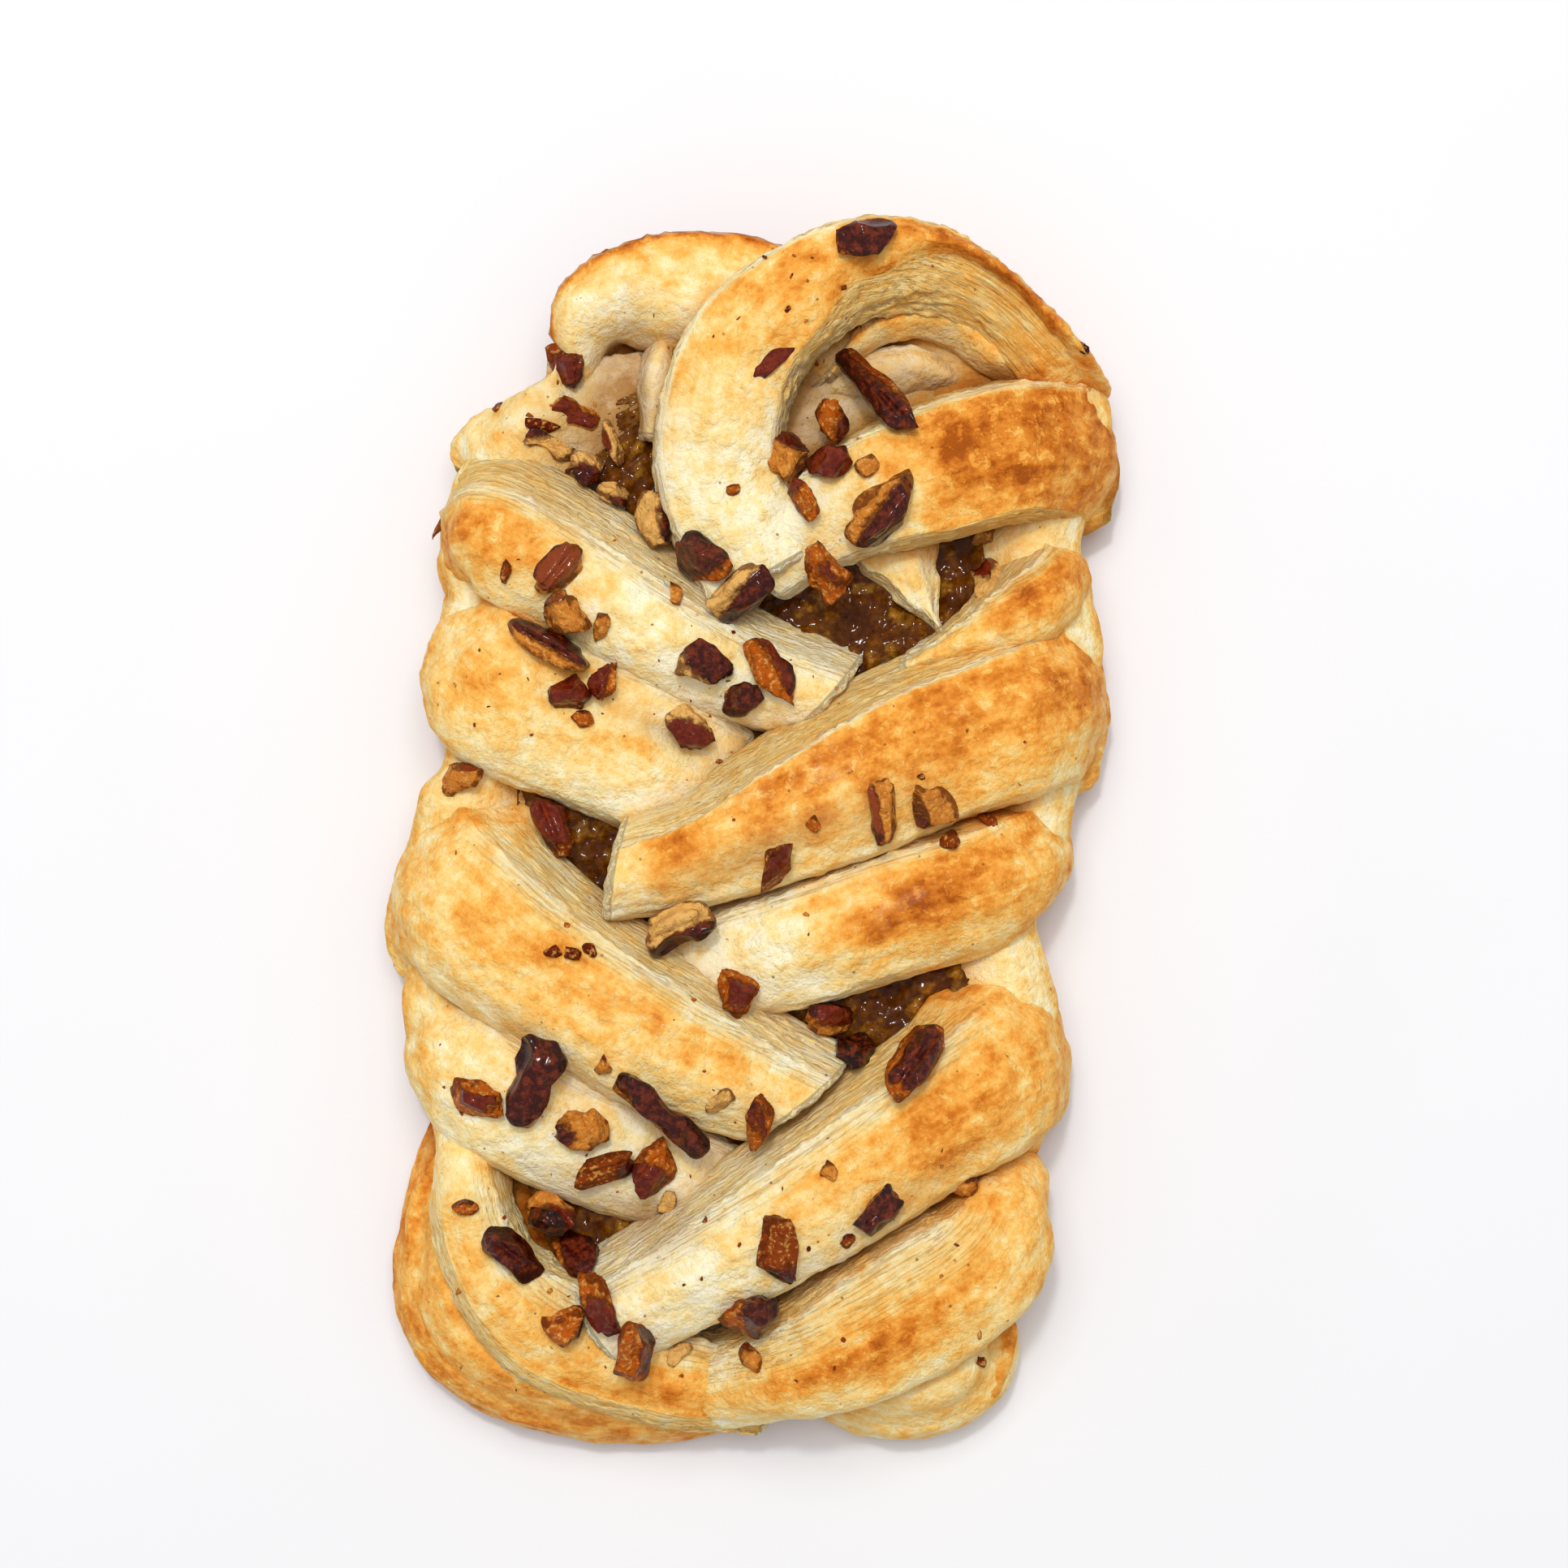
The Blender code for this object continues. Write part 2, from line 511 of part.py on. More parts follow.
def laid_nut(nut, tree, sides, rings, seed, lift):
    """The nut's shape in place: turned, tilted with the surface under it and sunk a little. Its
    underside follows the surface, and it is drawn in where something beside it stands higher."""
    shape = nut_points(nut, sides, rings, seed)
    turn = math.radians(nut.turn)
    along = Vector((math.cos(turn), math.sin(turn), 0))
    aside = Vector((-math.sin(turn), math.cos(turn), 0))
    centre = Vector((nut.x, nut.y, 0))
    heights = {}
    for u in (-1, 0, 1):
        for v in (-1, 0, 1):
            place = centre + along * (u * nut.long * 0.36) + aside * (v * nut.wide * 0.36)
            heights[u, v] = height_at(tree, place.x, place.y)
    rise_along = sum(heights[1, v] - heights[-1, v] for v in (-1, 0, 1)) / (3 * 0.72 * nut.long)
    rise_aside = sum(heights[u, 1] - heights[u, -1] for u in (-1, 0, 1)) / (3 * 0.72 * nut.wide)
    rise_along = min(max(rise_along, -STEEPEST), STEEPEST)
    rise_aside = min(max(rise_aside, -STEEPEST), STEEPEST)
    bearing = sorted(heights.values())[4 if nut.kind == "chunk" else 6]
    rest = bearing + nut.tall * (0.5 - SUNK) + lift
    for vert in shape.verts:
        u, v, w = vert.co
        z = rest + w + rise_along * u + rise_aside * v
        for drawn_in in DRAWN_IN:
            place = centre + (along * u + aside * v) * (1 - drawn_in)
            ground = height_at(tree, place.x, place.y) + GAP
            if z >= ground or (w < 0 and ground < rest):
                break
        vert.co = Vector((place.x, place.y, max(z, ground)))
    return shape


def laid_crumb(number, tree):
    x, y, long, wide, turn = CRUMBS[number]
    crumb = Nut(x, y, long, wide, turn, wide * CRUMB_TALL, "chunk")
    shape = laid_nut(crumb, tree, CRUMB_SIDES, CRUMB_RINGS, number + 100, 0.0)
    bmesh.ops.scale(shape, vec=Vector((MM, MM, MM)), verts=shape.verts)
    return object_from(f"crumb_{number}", shape)


def settled(nut, tree):
    """The nut moved by up to a slide, to where it rests lowest."""
    best = None
    for across in (-SLIDE, 0.0, SLIDE):
        for down in (-SLIDE, 0.0, SLIDE):
            moved = nut._replace(x=nut.x + across, y=nut.y + down)
            shape = laid_nut(moved, tree, CRUMB_SIDES, CRUMB_RINGS, 0, 0.0)
            top = max(vert.co.z for vert in shape.verts) + 0.6 * (abs(across) + abs(down))
            shape.free()
            if best is None or top < best[0]:
                best = (top, moved)
    return best[1]


def cleared(shape, tree):
    """Draws the shape in towards its middle wherever its triangles cross the tree's. True if it
    comes clear in so many steps."""
    bmesh.ops.triangulate(shape, faces=shape.faces)
    shape.faces.ensure_lookup_table()
    middle = sum((vert.co for vert in shape.verts), Vector()) / len(shape.verts)
    for _ in range(CLEARING_STEPS):
        crossings = BVHTree.FromBMesh(shape).overlap(tree)
        if not crossings:
            return True
        for vert in {vert for own, _ in crossings for vert in shape.faces[own].verts}:
            vert.co = vert.co.lerp(middle, CLEARING_SHARE)
    return False


def laid_pecan(number, others):
    """A pecan piece that lies on the others with a small gap."""
    tree = surface_tree(others)
    nut = settled(NUTS[number], tree)
    lift = 0.0
    shape = laid_nut(nut, tree, NUT_SIDES, NUT_RINGS, number + 1, lift)
    while not cleared(shape, tree):
        shape.free()
        lift += LIFT_STEP
        shape = laid_nut(nut, tree, NUT_SIDES, NUT_RINGS, number + 1, lift)
    bmesh.ops.scale(shape, vec=Vector((MM, MM, MM)), verts=shape.verts)
    return object_from(f"pecan_{number + 1:02d}", shape)


def pastry():
    """The sheet and its strips, joined, with the filling's place cut out."""
    body = sheet()
    pieces = bpy.data.collections.new("strips")
    bpy.context.scene.collection.children.link(pieces)
    for strip in STRIPS:
        made = solid_from_rings(strip.name, strip_rings(strip))
        bpy.context.scene.collection.objects.unlink(made)
        pieces.objects.link(made)
    apply_boolean(body, "UNION", pieces)
    bpy.data.collections.remove(pieces)
    keep_largest_shell(body)
    crumbs = bpy.data.collections.new("crumbs")
    bpy.context.scene.collection.children.link(crumbs)
    tree = surface_tree([body])
    for number in range(len(CRUMBS)):
        made = laid_crumb(number, tree)
        bpy.context.scene.collection.objects.unlink(made)
        crumbs.objects.link(made)
    apply_boolean(body, "UNION", crumbs)
    bpy.data.collections.remove(crumbs)
    apply_boolean(body, "DIFFERENCE", floor_block())
    apply_boolean(body, "DIFFERENCE", filling("filling_space", GAP))
    keep_largest_shell(body)
    body.name = "pastry"
    return body


def material(name, color, roughness):
    made = bpy.data.materials.new(name)
    made.use_nodes = True
    shader = made.node_tree.nodes["Principled BSDF"]
    shader.inputs["Base Color"].default_value = (*color, 1)
    shader.inputs["Roughness"].default_value = roughness
    shader.inputs["Metallic"].default_value = 0.0
    return made


def main():
    for old in list(bpy.data.objects):
        bpy.data.objects.remove(old)
    crust = material("crust", (0.80, 0.50, 0.22), 0.6)
    syrup = material("syrup", (0.15, 0.06, 0.012), 0.3)
    body = pastry()
    body.data.materials.clear()
    body.data.materials.append(crust)
    inside = filling("filling", 0.0)
    inside.data.materials.append(syrup)
    nut_skin = material("pecan_skin", (0.16, 0.035, 0.015), 0.45)
    laid = [body, inside]
    for number in range(len(NUTS)):
        laid.append(laid_pecan(number, laid))
        laid[-1].data.materials.append(nut_skin)


main()
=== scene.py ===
"""The looks of a braided pecan plait: layered puff pastry strips, syrup filling and pecan pieces.

Lengths are in millimetres up to the mesh builder, which scales them to metres. The plait lies
along Y, its flat underside is at z = 0, and the camera looks straight down on it.
"""

import math
import random
from collections import namedtuple
from itertools import product

import bmesh
import bpy
import numpy as np
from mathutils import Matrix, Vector, noise
from mathutils.bvhtree import BVHTree


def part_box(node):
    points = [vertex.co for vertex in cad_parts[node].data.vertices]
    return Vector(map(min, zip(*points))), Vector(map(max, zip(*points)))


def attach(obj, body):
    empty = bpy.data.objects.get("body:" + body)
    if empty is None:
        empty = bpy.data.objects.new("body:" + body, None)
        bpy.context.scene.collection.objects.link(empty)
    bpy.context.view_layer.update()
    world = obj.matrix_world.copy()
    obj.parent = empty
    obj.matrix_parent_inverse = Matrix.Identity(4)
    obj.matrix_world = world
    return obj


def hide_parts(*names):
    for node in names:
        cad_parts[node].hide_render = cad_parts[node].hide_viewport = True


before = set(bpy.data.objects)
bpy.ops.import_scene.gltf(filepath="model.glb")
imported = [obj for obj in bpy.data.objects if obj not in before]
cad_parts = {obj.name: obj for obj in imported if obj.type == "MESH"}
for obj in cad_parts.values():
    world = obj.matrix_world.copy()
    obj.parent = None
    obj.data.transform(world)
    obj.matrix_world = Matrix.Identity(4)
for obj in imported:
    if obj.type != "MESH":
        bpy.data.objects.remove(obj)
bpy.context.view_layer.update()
MM = 0.001
UP = Vector((0, 0, 1))

# A height above everything, from which rays are cast down.
RAY_HEIGHT = 90.0

# The camera looks straight down from this place, and its view is this wide at this distance.
CAMERA_PLACE = (3.43, 5.37, 420.0)
VIEW_WIDTH = 178.9
VIEW_DISTANCE = 408.0

# The pastry sheet under the filling: (inset from the outline, height) of each ring of its side,
# and then of its flat top. The rings draw in towards a spine along Y of this half length.
SHEET_RINGS = ((5.0, 0.0), (3.2, 2.0), (2.4, 6.0), (1.0, 10.4), (4.0, 13.6), (7.0, 14.4), (12.0, 12.2))
SHEET_TOP_RINGS = ((16, 11.6), (22, 11.4), (26, 11.2))
SPINE_HALF_LENGTH = 48.0

# Near the bottom end, and at the top left, the sheet lies this much lower, under the strips there.
# It comes down over these lengths, and its side only from this height on, over this span.
SHEET_LOWERED = 3.4
LOWERED_FROM = -34.0
LOWERED_FADE = 6
SHEET_LOWERED_TOP = 5.5
LOWERED_TOP_FROM = (6.0, 47.0)
LOWERED_TOP_FADE = 5
SIDE_KEPT = 7
SIDE_SPAN = 5

# The filling is a slab with a lumpy top, which runs the whole length under the strips. Its lumps
# are broad ones, and chunks with a size of their own. "step" is the distance between its points.
FILLING_HALF_WIDTH = 27.0
FILLING_ENDS = (-56.0, 50.0)
FILLING_FLOOR = 6.5
FILLING_TOP = 12.8
FILLING_LUMPS = 0.9
FILLING_CHUNK = 1.9
FILLING_STEP = 0.42

# A strip leaves the underside this far in from the outline, at this height, and then bulges out
# to this inset at this height. Its root is looked for on the outline further out than this X, and
# this many points of the outline on both sides give the direction there.
ROOT_TUCK = 1.2
ROOT_HEIGHT = 0.5
ROOT_INSET = 0.3
BULGE_HEIGHT = 9.5
ROOT_LEAST_X = 20.0
ROOT_REACH = 3

# The stations of a strip lie this far apart, and the ones this many steps ahead and behind give
# its direction. Over the rooted length it turns from the outline's direction to its own.
STATION_STEP = 0.5
FRAME_REACH = 5
ROOTED_LENGTH = 22.4

# How far the crust arches up over its edges, as a run of shares of the thickness, and the height
# and wavelength of a strip's broad bumps.
CROWN = (0.40, 0.22, 0.18, 0.16, 0.20)
RELIEF = 0.35
RELIEF_WAVELENGTH = 7.0

# A place is darkened with painted shade, as if it lay in the shadow of a hollow, if it is lower than
# the blurred height of what is round it: from the first depth on, and wholly after the span more.
# The blur reaches this many cells of the map each way.
MAP_REACH = (46.0, 74.0)
MAP_STEP = 0.8
MAP_BLUR = 2.6
BLUR_CELLS = 12
PAINTED_SHADE_FROM = 0.4
PAINTED_SHADE_SPAN = 3.4

# A strip runs through the points of its path to its tip. Its side is -1 for left and 1 for
# right. Its root is the Y at which it leaves the outline, or None if it starts at its first
# point. "width", "under" (the height of its underside) and "thick" are runs of values from its
# start to its tip. "bands" are the widths, seen from above, of the cut faces along its upper and
# its lower edge, each of them a run too, or one value. "skew" is the slant of its tip in degrees.
# "brown" is a run of browning, from 0 for pale dough to 1 for dark crust. "streak" is the share of
# the crust, from its upper edge, that is torn into layers, and "flaky" how deep its layers are. A
# wrapped strip has crust in place of its lower cut face. The rim is the edge that baked darkest
# because it lies at the outline: -1 for the lower edge, 1 for the upper one. Up to this length from
# its start ("whole") a rooted strip is one with its neighbours, with no cut face.
Strip = namedtuple("Strip", "name side root path width under thick bands skew brown "
                   "streak flaky wrapped rim whole", defaults=(0.12, 0.6, True, 0, 15))

STRIPS = (
    Strip("left_rim", -1, 49.5, ((-25.5, 46.0), (-20.5, 46.0), (-16.5, 48.0), (-11.5, 50.0)),
        (9, 19, 18, 15, 12), (9.5, 7.8, 7.0, 6.8), (6, 6.2, 6.0), (1.0, 1.0), 0,
        (0.3, 0.32, 0.24, 0.06, 0.05), 0.0, 0.3),
    Strip("top_lobe", -1, None,
        ((-17.4, 46.0), (-18.6, 52.0), (-18.0, 58.4), (-12.4, 60.9), (-4.5, 60.5), (2.5, 58.0),
         (8.0, 54.0)),
        (5.4, 7.6, 12.6, 15.4, 17, 17), (0.5, 2.0, 4.6, 6.0, 6.0, 5.0), (5.5, 13.4, 14, 11),
        (1.0, 2.4), 0, (0.24, 0.42, 0.56, 0.6, 0.56, 0.46, 0.36), 0.0, 0.3, True, 1),
    Strip("tongue", -1, None, ((-10.4, 55.6), (-11.2, 51.4), (-11.6, 45.4)),
        (4.6, 4.2, 3.2), (8.0, 10.6, 11.0), (6, 6.6, 5.2), (0.4, 0.4), 0,
        (0.1, 0.1, 0.1), 0.0, 0.1),
    Strip("eye_floor", -1, None, ((-1.0, 44.5), (7.0, 48.0), (16.0, 49.5), (27.0, 50.0)),
        (17, 17, 10), (6.5, 6.8, 5.0, 3.4), (8, 7.5, 7), (1.0, 1.0), 0, (0.1, 0.08, 0.12)),
    Strip("eye_fold", -1, None, ((8.0, 49.5), (13.0, 51.4), (18.5, 52.2), (22.2, 51.4)),
        (8.0, 8.4, 6.6), (7.0, 7.5, 6.0), (7, 7.4, 6), (1.0, 1.6), 0,
        (0.12, 0.12, 0.16), 0.0, 0.2),
    Strip("arch_lip", 1, None,
        ((30.5, 52.2), (27.4, 54.0), (24.2, 56.6), (20.5, 58.2), (16.4, 57.9), (12.4, 55.8), (9.0, 52.0)),
        (4.4, 5.0, 5.0, 4.4, 3.4, 2.0), (10.0, 11.0, 12.0, 12.0), (6, 5.6, 5.4, 4.6),
        (0.6, 0.6), 0, (0.4, 0.46, 0.5, 0.46, 0.36), 0.0, 0.4),
    Strip("right_arch", 1, 51.5,
        ((32.7, 53.9), (26.9, 59.4), (19.5, 63.0), (12.0, 63.0), (5.0, 59.5), (-0.5, 54.5),
         (-3.5, 47.0), (-3.5, 39.0), (1.2, 29.6)),
        (7.6, 8.8, 12.2, 14.8, 15.4), (12, 14, 16, 15, 13), (9, 10, 8),
        ((1.0, 0.8), (2.0, 4.6, 6.6, 7.6, 4.4, 1.6, 1.2, 1.2, 1.2)), 0,
        (0.6, 0.74, 0.74, 0.62, 0.55, 0.4, 0.14, 0.06), 0.05, 1.0, False),
    Strip("right_band", 1, 44.5,
        ((29.0, 43.0), (20.0, 40.5), (12.0, 37.5), (6.0, 34.0), (1.0, 30.5)),
        (17.0, 16.5, 10.5), (13, 14, 11), (9, 9.5, 8.0), (1.2, 1.0), 0,
        (0.7, 0.78, 0.8, 0.74, 0.46, 0.14, 0.05), 0.06, 0.6, False, 0, 9),
    Strip("gap_tip", 1, None, ((14.0, 37.8), (15.9, 33.4), (18.4, 28.2), (20.9, 23.2)),
        (15, 11.0, 6.2, 1.4), (11, 12.6, 13.0), (5, 3.4, 2.4), (1.0, 1.0), 0, (0.05, 0.3, 0.1),
        0.0, 0.8),
    Strip("gap_ridge", 1, 30.5, ((31.5, 25.8), (24.0, 21.8), (18.0, 19.3)),
        (15, 10.5, 4.0), (12, 12.4, 11.5), (8, 8, 6), (1.6, 1.0), 0, (0.4, 0.62, 0.7, 0.55, 0.25),
        0.2, 0.8, True, 0, 7),
    Strip("left_upper", -1, 34.8,
        ((-29.5, 35.0), (-20.5, 30.2), (-11.5, 24.2), (-2.5, 19.2), (8.0, 15.5)),
        (18, 17.0, 12.5), (13, 13.5, 12), (8.5, 8.5, 7), ((5.6, 4.8, 3.2), 1.2), 25,
        (0.4, 0.62, 0.5, 0.2, 0.1, 0.12), 0.2, 0.8, True, 0, 7),
    Strip("left_second", -1, 20.5, ((-29.5, 16.5), (-20.5, 12.5), (-11.5, 8.5), (-4.5, 5.0)),
        (15, 19, 18), (12.5, 11.5, 8), (8.5, 8.5, 7.5), (1.4, 1.2), 0,
        (0.4, 0.5, 0.4, 0.28, 0.15), 0.1),
    Strip("right_main", 1, 15.5,
        ((30.0, 14.0), (20.0, 10.5), (11.0, 6.2), (2.0, 2.2), (-7.0, -1.8), (-15.0, -4.0)),
        (22.5, 20.0, 12.5), (13, 15.5, 15), (9, 9.5, 8.5), (4.2, 1.0), -22,
        (0.56, 0.72, 0.72, 0.66, 0.64, 0.54, 0.34), 0.0, 0.6, True, 0, 8),
    Strip("right_lower", 1, -3.0,
        ((26.5, -5.0), (15.5, -8.3), (6.5, -11.5), (-2.5, -14.5), (-8.0, -16.5)),
        (15, 17, 16), (12, 12.5, 9), (9, 9.5, 8), (3.0, 1.4), 0,
        (0.5, 0.62, 0.68, 0.45, 0.1, 0.05)),
    Strip("left_main", -1, -4.0,
        ((-31.5, -8.0), (-24.5, -13.8), (-17.5, -18.2), (-10.0, -22.7), (-2.3, -26.7), (5.0, -30.0)),
        (26, 21, 19, 15), (13, 15.5, 13.5), (9, 9, 8), (4.0, 1.6), 30,
        (0.44, 0.48, 0.46, 0.44, 0.4, 0.28), 0.2),
    Strip("left_fourth", -1, -25.0,
        ((-29.5, -28.5), (-20.5, -33.5), (-11.5, -37.5), (-4.5, -41.0)),
        (18, 17, 15), (12.5, 11, 8), (8.5, 8.5, 7.5), ((3.0, 2.0), 1.2), 0,
        (0.5, 0.38, 0.2, 0.1, 0.06), 0.14, 0.8),
    Strip("bottom_outer", -1, None,
        ((-33.6, -31.0), (-35.6, -38.0), (-36.2, -46.0), (-36.0, -53.6), (-32.8, -59.6),
         (-25.8, -63.4), (-16.0, -65.0), (-5.0, -64.4), (5.0, -62.0), (13.0, -58.5)),
        (7.5, 13, 13, 8.5), (0, 0, 0), (11, 14.6, 14.2, 9), (1.0, 4.0), 0,
        (0.46, 0.5, 0.48, 0.48, 0.5, 0.46), 0.1, 0.8, True, -1),
    Strip("bottom_inner", -1, -34.5,
        ((-32.6, -39.5), (-31.6, -45.0), (-28.6, -51.2), (-21.6, -57.2), (-10.5, -62.0), (1.0, -64.5)),
        (8, 8.5, 10.5, 14.5, 13, 11), (11, 12, 10, 5), (8, 8.5, 7.5), (1.2, (1.6, 2.6)), 0,
        (0.4, 0.36, 0.4, 0.5, 0.56, 0.5), 0.4, 1.0, False),
    Strip("right_fifth", 1, -23.5,
        ((25.5, -28.0), (15.5, -34.5), (6.5, -40.5), (-2.5, -46.0), (-11.5, -51.5), (-17.5, -55.0)),
        (22, 18, 14), (13, 15, 12), (9, 9.5, 8), (3.6, 1.2), 0,
        (0.45, 0.58, 0.66, 0.5, 0.32, 0.22, 0.12), 0.25),
    Strip("right_last", 1, -41.5,
        ((26.0, -47.0), (17.5, -53.0), (7.5, -58.5), (-1.0, -61.8), (-6.5, -63.5)),
        (11, 19, 12), (11.5, 12, 6.5), (9, 10, 7), (3.2, 1.2), 0,
        (0.4, 0.5, 0.62, 0.68, 0.6, 0.35), 0.5, 0.9),
    Strip("bottom_lobe", 1, None,
        ((23.5, -48.0), (24.4, -55.5), (24.0, -62.0), (18.0, -64.6), (10.0, -63.4), (2.0, -61.0)),
        (8, 13.5, 13.5, 8), (0, 0, 0), (10.5, 14.6, 12), (0.8, 4.0), 0,
        (0.18, 0.2, 0.26, 0.28), 0.5, 0.7, True, -1),
)

# The outline of the plait, from its upper right side round by the bottom.
OUTLINE = (
    (38.2, 55.5), (42.0, 46.1), (38.4, 32.6), (40.9, 20.0), (38.1, 4.1), (36.0, -5.3),
    (33.4, -10.5), (35.8, -20.2), (34.7, -33.3), (31.9, -47.0), (30.2, -52.0), (31.8, -58.6),
    (29.3, -66.1), (20.6, -69.7), (11.3, -68.0), (1.9, -68.4), (-7.4, -69.8), (-16.8, -70.7),
    (-26.1, -69.0), (-35.5, -64.8), (-40.4, -61.5), (-42.4, -52.0), (-41.4, -42.7),
    (-37.2, -34.0), (-41.1, -22.1), (-40.5, -15.0), (-41.1, -6.0), (-39.2, 4.0), (-36.2, 9.0),
    (-37.6, 20.9), (-36.0, 27.0), (-37.0, 32.1), (-34.9, 41.0), (-28.2, 49.8), (-23.3, 54.6),
    (-22.6, 62.8), (-17.0, 67.2), (-9.5, 69.3), (-2.7, 68.4), (1.9, 66.2), (6.6, 68.6),
    (16.0, 70.5), (25.3, 66.9), (33.5, 59.5),
)

# Patches that baked darker (or paler): centre, reach along and across, direction in degrees and
# the browning that they add at their centre.
PATCHES = (
    (15.0, -10.2, 8.0, 3.4, 18, 0.36), (22.9, -34.9, 6.0, 3.5, 30, 0.2), (29.6, 26.4, 3.6, 3.0, 40, 0.2),
    (13.8, -56.7, 8.0, 4.0, 25, 0.2), (31.0, 45.5, 8.0, 6.0, 0, 0.12),
    (22.4, 42.0, 2.4, 1.8, 0, 0.3), (29.8, 39.6, 1.8, 1.4, 0, 0.28),
    (23.5, 65.0, 9.0, 3.5, -35, 0.16), (7.5, 61.5, 5.0, 4.0, 0, 0.1),
    (-30.5, 33.0, 5.0, 3.5, -20, 0.16), (-30.5, -14.0, 8.0, 3.0, -40, 0.12),
    (-11.6, -20.6, 8.0, 2.4, -30, 0.12), (-9.2, -1.6, 3.6, 2.6, 20, 0.26),
    (6.5, 6.8, 9.0, 2.6, 25, 0.1), (-31.0, 17.5, 5.0, 3.0, -15, 0.12),
    (-25.0, -64.5, 6.0, 3.0, -25, 0.16), (25.5, -64.0, 5.0, 3.0, 40, 0.16),
    (-6.5, -64.5, 4.0, 2.4, -20, 0.2), (-20.5, -13.0, 3.5, 2.0, -10, 0.3),
    (1.0, 46.0, 6.0, 7.0, 0, -0.1), (-6.0, -50.0, 7.0, 4.0, 30, -0.08),
)

# Where syrup soaked into the dough, and where painted shade darkens hollows, in the same form, and where
# glaze glints on the crust.
SOAK_AND_SHADE_PATCHES = (
    (-18.5, 45.0, 7.5, 7.5, 0, 0.7), (6.5, 46.5, 5.0, 4.5, 60, 0.6), (3.0, -1.0, 16.0, 2.0, 22, 0.5),
    (-9.5, 11.0, 6.0, 1.6, -28, 0.5), (-26.0, -22.0, 9.0, 1.6, -28, 0.45),
    (22.0, 55.0, 3.0, 2.0, -50, 0.4), (-16.0, -42.0, 8.0, 2.0, -25, 0.5),
    (-11.0, -43.0, 4.0, 3.0, 40, 0.45), (15.5, -42.5, 14.0, 1.6, 35, 0.4),
    (-15.2, 49.5, 3.0, 7.5, -8, 1.0), (26.0, 29.5, 4.0, 3.0, 0, 0.4), (16.5, 51.5, 7.0, 3.0, 0, 0.6),
    (26.5, 51.0, 3.0, 1.6, 0, 0.7),
)
GLAZED = (
    (5.0, 12.0, 3.6, 2.4, 30, 1.2), (8.0, 7.5, 4.0, 2.4, 35, 1.2), (-1.0, 5.0, 3.6, 2.4, 25, 1.2),
    (15.5, -8.5, 5.0, 3.0, 15, 0.9), (10.5, -5.0, 3.0, 1.5, 15, 0.9), (-15.5, -18.0, 3.6, 2.0, -35, 1.0),
    (-11.5, -22.0, 3.0, 1.6, -35, 0.9), (10.0, 36.0, 4.0, 2.0, 35, 0.8), (6.0, -33.5, 4.0, 2.0, 30, 0.8),
    (14.0, 57.0, 3.0, 2.0, 0, 0.5), (22.5, 13.0, 2.5, 1.6, 20, 0.6),
)

# The pecan pieces: centre, length, width, direction of the length in degrees from X, height, the
# colours of the broken flesh and of the skin, the direction of the side that the skin is on (None
# for the top), the share of the piece that it covers, and the kind.
Nut = namedtuple("Nut", "x y long wide turn tall flesh skin side share kind", defaults=("chunk",))

